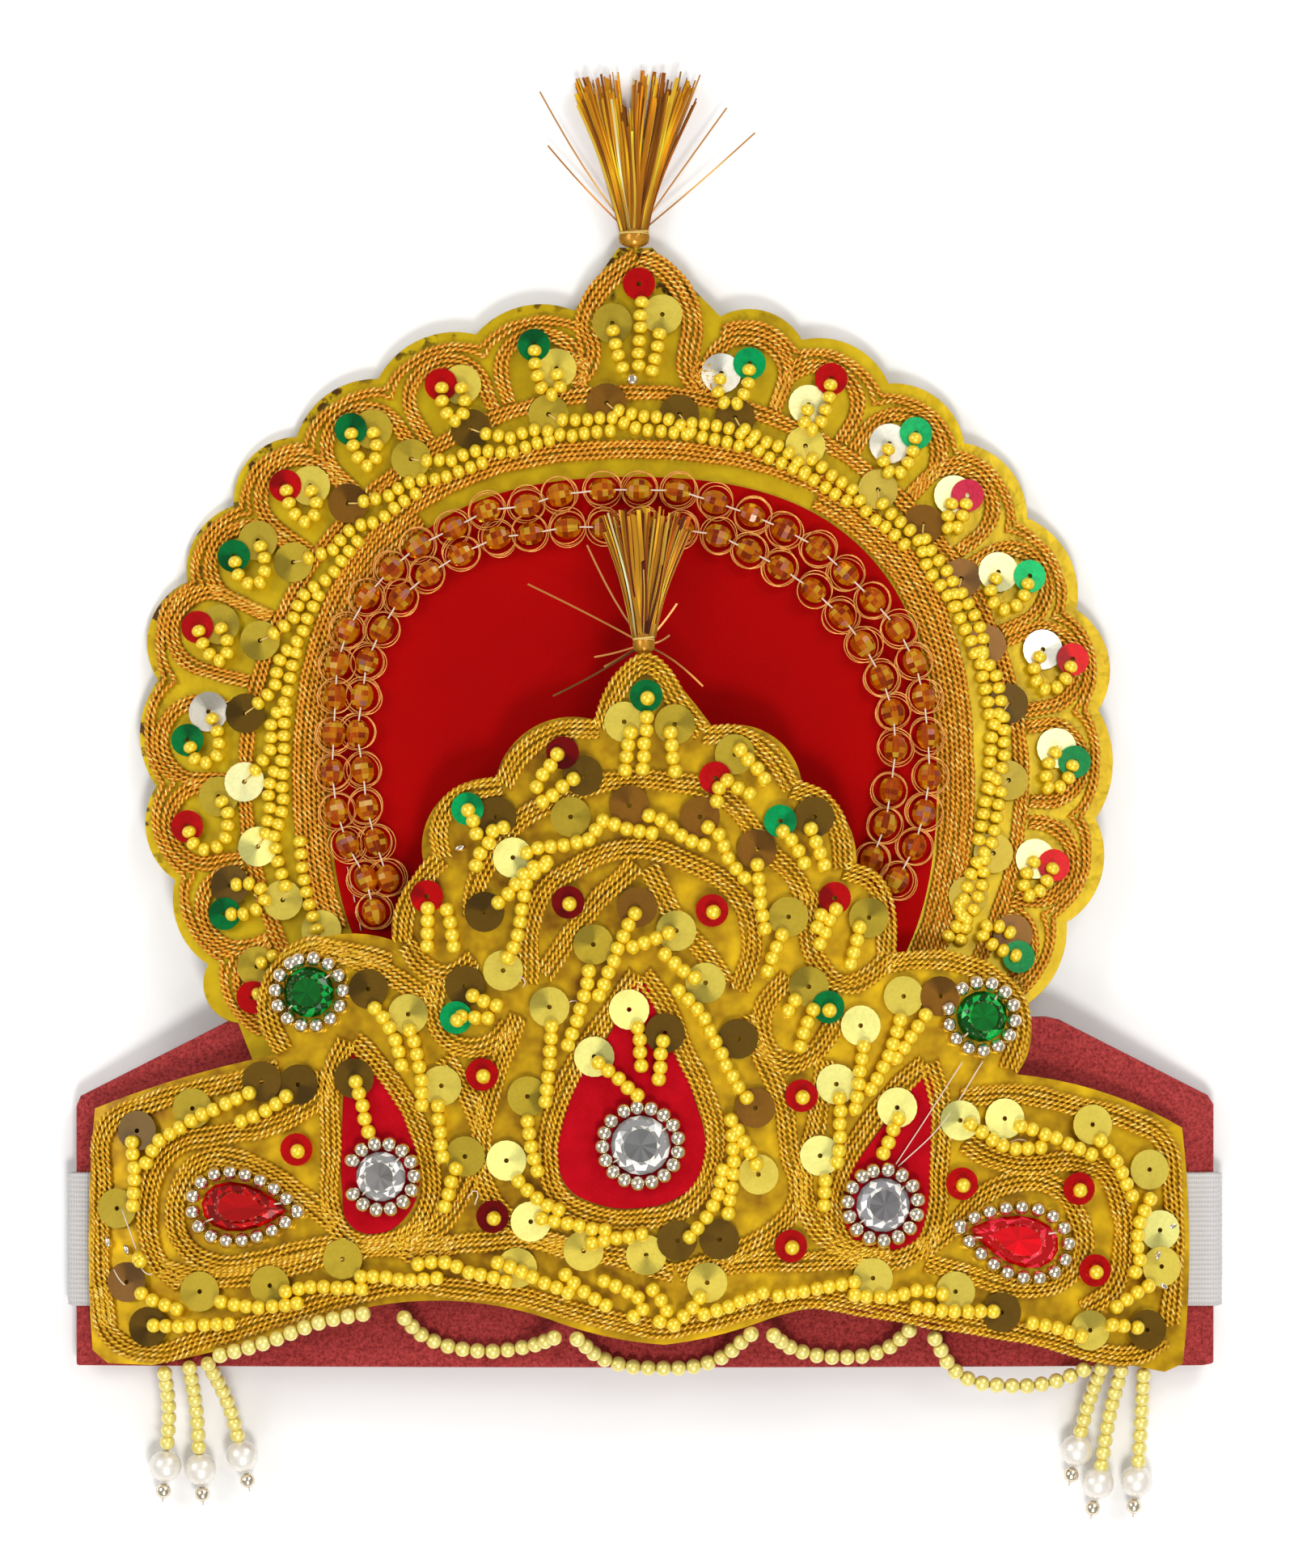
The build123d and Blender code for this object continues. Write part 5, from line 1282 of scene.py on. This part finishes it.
SIDE_STRINGS = (
    ((461, 1241), (485, 1275), (499, 1320)), ((508, 1271), (519, 1310), (523, 1366)),
    ((543, 1362), (545, 1400), (549, 1433)), ((564, 1443), (556, 1470), (550, 1489)), ((530, 1122), (530, 1170)),
    ((552, 1117), (560, 1150), (563, 1177)), ((583, 1229), (616, 1243)), ((571, 1256), (605, 1257)),
    ((967, 1026), (985, 1048), (994, 1067)), ((1002, 1025), (1018, 1070)), ((1033, 1123), (1022, 1145), (1013, 1167)),
    ((1062, 1144), (1050, 1193)), ((987, 1230), (970, 1255)), ((1004, 1247), (988, 1292)),
    ((580, 999), (587, 1018), (590, 1033)), ((625, 1023), (611, 1026), (605, 1042), (594, 1055), (590, 1070)),
    ((1068, 1288), (1062, 1330), (1055, 1374)), ((1113, 1256), (1098, 1305), (1073, 1349)),
    ((1144, 1253), (1106, 1308)), ((1037, 1357), (1038, 1400), (1035, 1436)), ((1021, 1450), (1017, 1496)),
    ((164, 1409), (166, 1450), (164, 1493)), ((180, 1440), (196, 1412), (224, 1393), (268, 1370), (312, 1350)),
    ((299, 1385), (330, 1372), (356, 1353)), ((172, 1557), (173, 1559)),
    ((1198, 1389), (1225, 1407), (1256, 1420), (1287, 1417)), ((1257, 1390), (1290, 1401), (1322, 1414), (1352, 1428)),
    ((1359, 1409), (1380, 1436), (1400, 1479)), ((1425, 1476), (1411, 1508), (1405, 1542), (1408, 1566), (1398, 1577)),
    ((1421, 1588), (1392, 1608), (1378, 1617)), ((1373, 1637), (1406, 1642)), ((1016, 1128), (1008, 1150)),
    ((889, 975), (886, 990)), ((911, 925), (930, 945), (947, 967)), ((893, 962), (912, 974), (932, 985)),
    ((679, 1063), (652, 1077), (633, 1100), (614, 1117)),
)
CENTRED_PEARLS = (
    (703, 1115), (880, 1125), (597, 1327), (990, 1353), (368, 1420), (1188, 1462), (1333, 1469), (610, 1502),
    (977, 1538), (1353, 1570), (799, 862), (565, 1258), (1023, 1246),
)
brow_mould = bead_mould("brow_pearl", BROW_PEARL, 12, 7)
for name, strings in (("band", BAND_STRINGS), ("centre", CENTRE_STRINGS), ("side", SIDE_STRINGS)):
    string_seats = sum((strung(on_brow, places, BROW_PEARL_LIFT, BROW_JITTER) for places in strings), [])
    copies_of(brow_mould, string_seats, f"brow_{name}_strings", yellow_pearl, "yellow_pearl",
              [f"front_{name}_pearls"])
centred = [seat_on(on_brow, (x + 1.5, y + 2), COLOUR_LIFT + BROW_PEARL, rng.uniform(0, 3))
           @ Matrix.Rotation(math.radians(70), 4, "X") for x, y in CENTRED_PEARLS]
copies_of(brow_mould, centred, "centred_pearls", yellow_pearl, "yellow_pearl")

# Swags: five loose strings of larger pale pearls. The first is sewn along the brow plate's lower edge, and the
# others hang from it in loops on to the flocked band.
SWAG_PEARL = 1.52
SWAG_PITCH = 2.86
SWAG_ON_CORD = 2.7
SWAGS = (
    ((267, 1676), (330, 1658), (400, 1632), (457, 1621)),
    ((497, 1624), (530, 1654), (592, 1669), (650, 1664), (690, 1650)),
    ((714, 1653), (752, 1681), (808, 1690), (880, 1682), (928, 1647)),
    ((952, 1646), (985, 1668), (1040, 1677), (1092, 1668), (1128, 1639)),
    ((1152, 1649), (1188, 1700), (1246, 1713), (1304, 1708), (1345, 1691)),
)
pale_pearl = pearl_finish("pale_pearl", linear(240, 226, 134), linear(224, 204, 96))
swag_mould = bead_mould("swag_pearl", SWAG_PEARL, 14, 8)
for number, (first, *middle, last) in enumerate(SWAGS, 1):
    if number == 1:
        points = [on_brow(place, SWAG_ON_CORD) for place in (first, *middle, last)]
    else:
        points = [on_brow(first, -FRONT_CARD / 2), *(on_band(place, FIT + SWAG_PEARL) for place in middle),
                  on_brow(last, -FRONT_CARD / 2)]
    hung = stops_on(drawn_through([tuple(point / MM) for point in points]), SWAG_PITCH) * MM
    copies_of(swag_mould, seats_along([Vector(stop) for stop in hung]), f"swag_{number}_pearls", pale_pearl,
              "pale_pearl", [f"pearl_swag_{number}"])

# Tassels: three at each lower corner, each a string of pale pearls on nylon thread, then a large white pearl and a
# plated end bead, all lying on the table.
TASSEL_PEARL = 1.48
TASSEL_PITCH = 2.5
LARGE_PEARL = 3.05
TASSEL_REST = 3.5
END_BEAD_REST = 2.4
NYLON_END = 0.7
TASSELS = (
    # name, top, bend, lower end, end bead
    ("left_outer", (203, 1692), (208, 1745), (205, 1793), (201, 1842)),
    ("left_middle", (234, 1686), (242, 1745), (245, 1797), (249, 1850)),
    ("left_inner", (256, 1682), (281, 1735), (294, 1781), (305, 1834)),
    ("right_inner", (1362, 1690), (1347, 1735), (1337, 1774), (1327, 1821)),
    ("right_middle", (1386, 1694), (1372, 1755), (1363, 1815), (1352, 1870)),
    ("right_outer", (1414, 1698), (1412, 1755), (1409, 1812), (1404, 1862)),
)
white_pearl = pearl_finish("white_pearl", linear(242, 238, 228), linear(222, 214, 204))
tassel_mould = bead_mould("tassel_pearl", TASSEL_PEARL, 14, 8)
large_mould = bead_mould("large_pearl", LARGE_PEARL, 28, 16, 1.0, 0.12)
for name, top, bend, low, end in TASSELS:
    start = on_brow(top, -FRONT_CARD / 2) / MM
    rests = [Vector((*across_up(place), height)) for place, height in
             ((bend, (start.z + 2 * TASSEL_REST) / 3), (low, TASSEL_REST), (end, END_BEAD_REST))]
    line = stops_on(drawn_through([tuple(start), tuple(rests[0]), tuple(rests[1])]), TASSEL_PITCH)
    copies_of(tassel_mould, seats_along([Vector(stop) * MM for stop in line]), f"{name}_pearl_string", pale_pearl,
              "pale_pearl", [f"{name}_tassel_string"])
    along = (rests[2] - rests[1]).normalized()
    pearl_at = rests[1] + along * (FIT + LARGE_PEARL)
    bead_at = pearl_at + along * (FIT + LARGE_PEARL + SILVER)
    turned = along.to_track_quat("Z", "Y").to_matrix().to_4x4()
    for kind, at, mould, finish, slot in (("pearl", pearl_at, large_mould, white_pearl, "white_pearl"),
                                          ("end_bead", bead_at, silver_mould, chrome, "silver_bead")):
        copies_of(mould, [Matrix.Translation(at * MM) @ turned], f"{name}_{kind}", finish, slot,
                  [f"{name}_tassel_{kind}"])
    nylon = [point * MM for point in (rests[1], pearl_at, bead_at, bead_at + along * (SILVER + NYLON_END))]
    thread_of([nylon], f"{name}_nylon", white_thread, "pale_pearl")

# Plumes: narrow strips of gold tinsel, fanned out flat from a pleated knot that thread is wound round. One stands on
# the disc's peak, the other on the brow plate's, over the velvet.
STRIP_WIDE = 0.36
STRIP_WIDTHS = (0.6, 0.8, 1.0, 1.2, 2.2)
STRIP_THICK = 0.09
FAN_STEPS = 7
STRAY_WIDE = 0.34
STRAY_STEPS = 6
FAN_DROOP = 0.06
FAN_FLARE = 1.15
FAN_WAVE = 0.25
NOTCH_AT = -0.12
NOTCH_HALF = 0.12
FAN_START = 0.6
ROOT_SHADE = 0.55
SHINE = (0.8, 1.1)
SHINE_TURN = 0.75
ROOT_REACH = 4.0
TIP_REACH = 3.0
STRAY_RISE = 0.6
STRAY_TONES = ((120, 84, 40), (214, 140, 70), (226, 160, 90))
# The last, near-white tone in each list is a painted highlight: strips that catch the light.
TOP_TONES = ((244, 176, 36), (230, 152, 22), (206, 124, 14), (142, 78, 10), (255, 204, 60), (255, 240, 160))
FRONT_TONES = ((204, 124, 20), (164, 80, 10), (104, 36, 4), (222, 154, 34), (250, 200, 76), (255, 240, 160))
KNOT_PLEATS = 18
KNOT_RINGS = 12
KNOT_FLAT = 0.66
KNOT_GROOVE = 0.8
KNOT_WAIST = 0.3
KNOT_FLARE = 1.08
KNOT_WRAPS = 3
WRAP_REACH = 0.94
WRAP_STOPS = 24
WRAP_THREAD = 0.14
WRAP_FIRST = 0.35
WRAP_STEP = 0.12
WRAP_SLANT = 0.2
PLUMES = (
    # name, knot place, half width and half height, waist, spread, reach, notch, depth, strips, tones, strays
    ("top", (784, 292), 2.95, 2.0, 2.3, 9.4, 30.5, 6.0, 3.2, 210, TOP_TONES,
     ((667, 111), (677, 178), (899, 131), (934, 162), (866, 90), (842, 86))),
    ("front", (796, 797), 2.1, 2.1, 1.8, 6.6, 25.0, 0.0, 2.2, 120, FRONT_TONES,
     ((653, 723), (726, 675), (735, 813), (747, 825), (684, 861), (837, 747), (828, 786), (869, 849))),
)
tinsel = finish_of("gold_tinsel", WHITE, 0.26, 0.45)
feed(tinsel, "Base Color", tint_of(tinsel))
knot_finish = finish_of("knotted_tinsel", linear(196, 128, 30), 0.3, 0.45)
mottled(knot_finish, linear(226, 164, 50), linear(160, 100, 22), 500.0, 2500.0, 1.0, 0.2, 0.03)


def fan(root, waist, spread, length, rise, notch, depth, count, tones):
    """Tinsel strips that leave a root and fan out up the crown, in millimetres."""
    strips = []
    for _ in range(count):
        lean = rng.uniform(-1, 1)
        notched = notch if abs(lean - NOTCH_AT) < NOTCH_HALF else 0.0
        far = length * (1 - FAN_DROOP * lean * lean) * rng.uniform(0.8, 1.0) - notched
        layer = rng.uniform(0, 1)
        points = []
        for share in (step / FAN_STEPS for step in range(FAN_STEPS + 1)):
            x = root.x + lean * (waist + spread * share ** FAN_FLARE) + FAN_WAVE * math.sin(9 * lean + 5 * share)
            z = root.z + rise * share + (layer - 0.5) * depth * (0.6 + 0.6 * share)
            points.append(Vector((x, root.y + far * share, z)))
        tone = tones[min(5, int(rng.triangular(0, 6, 1.6)))]
        strips.append((points, STRIP_WIDE * rng.choice(STRIP_WIDTHS), tone))
    return strips


def tinsel_strips(strips):
    """Corners, sides and tints of flat tinsel strips, each along its own line, with painted glints along it and
    painted shade at its root.
    """
    corners, sides, tints = [], [], []
    half_thick = Vector((0.0, 0.0, STRIP_THICK / 2))
    for points, wide, tone in strips:
        start, last = len(corners), len(corners) + 4 * (len(points) - 1)
        sheen = rng.uniform(0, math.tau)
        for index, at in enumerate(points):
            run = points[min(index + 1, len(points) - 1)] - points[max(index - 1, 0)]
            side = run.cross(Vector((0.0, 0.0, 1.0))).normalized() * wide / 2
            corners += [(at + across + up) * MM for across, up in
                        ((-side, half_thick), (side, half_thick), (side, -half_thick), (-side, -half_thick))]
            root_shade = ROOT_SHADE + (1.0 - ROOT_SHADE) * min(1.0, index / 3)
            shine = root_shade * (SHINE[0] + SHINE[1] * max(0.0, math.cos(SHINE_TURN * index + sheen)) ** 4)
            tints += [[min(1.0, share * shine) for share in linear(*tone)]] * 4
        sides += [(here + edge, here + (edge + 1) % 4, here + 4 + (edge + 1) % 4, here + 4 + edge)
                  for here in range(start, last, 4) for edge in range(4)]
        sides += [(start + 3, start + 2, start + 1, start), (last, last + 1, last + 2, last + 3)]
    return corners, sides, tints


for name, place, half_wide, half_high, waist, spread, length, notch, depth, count, tones, strays in PLUMES:
    plume = f"plume_{name}"
    low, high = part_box(plume)
    plain = np.array([corner.co for corner in nodes[plume].data.vertices]) / MM
    near_root = plain[plain[:, 1] < low.y / MM + ROOT_REACH, 2]
    near_tip = plain[plain[:, 1] > high.y / MM - TIP_REACH, 2]
    root_z = (near_root.min() + near_root.max()) / 2
    tip_z = (near_tip.min() + near_tip.max()) / 2
    root = Vector((*across_up(place), root_z))
    strips = fan(root + Vector((0.0, FAN_START * half_high, 0.0)), waist, spread, length, tip_z - root_z, notch, depth,
                 count, tones)
    for stray in strays:
        tip = Vector((*across_up(stray), root_z + STRAY_RISE * (tip_z - root_z)))
        bow = Vector((rng.uniform(-1, 1), rng.uniform(-1, 1), 0.0))
        points = [root.lerp(tip, step / STRAY_STEPS) + bow * math.sin(math.pi * step / STRAY_STEPS)
                  for step in range(STRAY_STEPS + 1)]
        strips.append((points, STRAY_WIDE, rng.choice(STRAY_TONES)))
    corners, sides, tints = tinsel_strips(strips)
    piece_of(f"{name}_tinsel", corners, sides, tinsel, "tinsel", [plume], tints, False)
    knot = begun(bpy.ops.mesh.primitive_uv_sphere_add, f"{name}_binding", segments=2 * KNOT_PLEATS,
                 ring_count=KNOT_RINGS, radius=half_wide * MM)
    open_all()
    pick(lambda at: round(math.atan2(at.y, at.x) / math.tau * 2 * KNOT_PLEATS) % 2 == 0)
    resize(KNOT_GROOVE, KNOT_GROOVE, 1.0)
    pick(lambda at: abs(at.z) > KNOT_WAIST * half_wide * MM)
    resize(KNOT_FLARE, KNOT_FLARE, 1.0)
    close()
    bpy.ops.object.shade_smooth()
    knot.data.transform(Matrix.Translation(root * MM) @ Matrix.Diagonal((1.0, 1.0, KNOT_FLAT, 1.0))
                        @ Matrix.Rotation(-math.pi / 2, 4, "X")
                        @ Matrix.Diagonal((1.0, 1.0, half_high / half_wide, 1.0)))
    settle(knot, knot_finish, [plume])
    wraps = []
    for wrap in range(KNOT_WRAPS):
        turns = [math.tau * step / WRAP_STOPS for step in range(WRAP_STOPS + 2)]
        reach = WRAP_REACH * half_wide
        wraps.append([Vector((root.x + reach * math.cos(turn),
                              root.y + half_high * (WRAP_FIRST + WRAP_STEP * wrap)
                              + WRAP_SLANT * math.sin(turn + wrap),
                              root.z + KNOT_FLAT * reach * math.sin(turn))) * MM for turn in turns])
    thread_of(wraps, f"{name}_binding_thread", gold_thread, "tinsel", [plume], round_section(WRAP_THREAD, 5),
              (0.0, 1.0, 0.0))

# Loose threads and crimps: white sewing ends that show on the foil, a line of white tacking on the velvet, and the
# small plated crimps that close the sewing.
TACKING = ((425, 1050), (436, 1100), (448, 1155))
TACK = 9.0
TACK_ENDS = 0.9
TACK_MIDDLE = 1.15
LOOSE_THREAD = 0.13
LOOSE_LIFT = 1.5
CRIMP = (0.75, 0.42, 0.5, 1.0)
CRIMP_LIFT = 1.3
PEAK_CRIMP = (0.8, 0.8, 0.7, 1.0)
PEAK_CRIMP_LIFT = 3.0
PEAK_CRIMP_PLACE = (782, 469)
SEWING_ENDS = (
    ((1190, 1310), (1150, 1372), (1105, 1440)), ((1215, 1310), (1162, 1390), (1108, 1442)),
    ((640, 1205), (650, 1212), (646, 1222)), ((1240, 1415), (1262, 1408), (1280, 1420)),
    ((578, 1480), (590, 1470), (588, 1488)), ((700, 1240), (712, 1236), (720, 1246)),
    ((150, 1492), (160, 1520), (170, 1548)), ((140, 1568), (148, 1582), (156, 1590)),
    ((170, 1562), (186, 1576), (190, 1574)),
)
SEWING_STEP = 6.0
BROW_CRIMPS = ((134, 1536, 1.8), (157, 1545, 2.0), (1450, 1516, 0.4), (1431, 1552, 1.2), (1438, 1590, 2.6),
               (570, 1048, 0.3))
tacks = stops_on(drawn_through(TACKING), TACK)
loose = [[on_disc(first, TACK_ENDS), on_disc((first + second) / 2, TACK_MIDDLE), on_disc(second, TACK_ENDS)]
         for first, second in zip(tacks[::2], tacks[1::2])]
loose += [[on_brow(stop, LOOSE_LIFT) for stop in stops_on(drawn_through(ends), SEWING_STEP)] for ends in SEWING_ENDS]
thread_of(loose, "loose_threads", white_thread, "white_pearl", section=round_section(LOOSE_THREAD, 5))
crimps = [seat_on(on_disc, PEAK_CRIMP_PLACE, PEAK_CRIMP_LIFT) @ Matrix.Diagonal(PEAK_CRIMP)]
crimps += [seat_on(on_brow, (x, y), CRIMP_LIFT, turn) @ Matrix.Diagonal(CRIMP) for x, y, turn in BROW_CRIMPS]
copies_of(silver_mould, crimps, "sewing_crimps", chrome, "silver_bead")
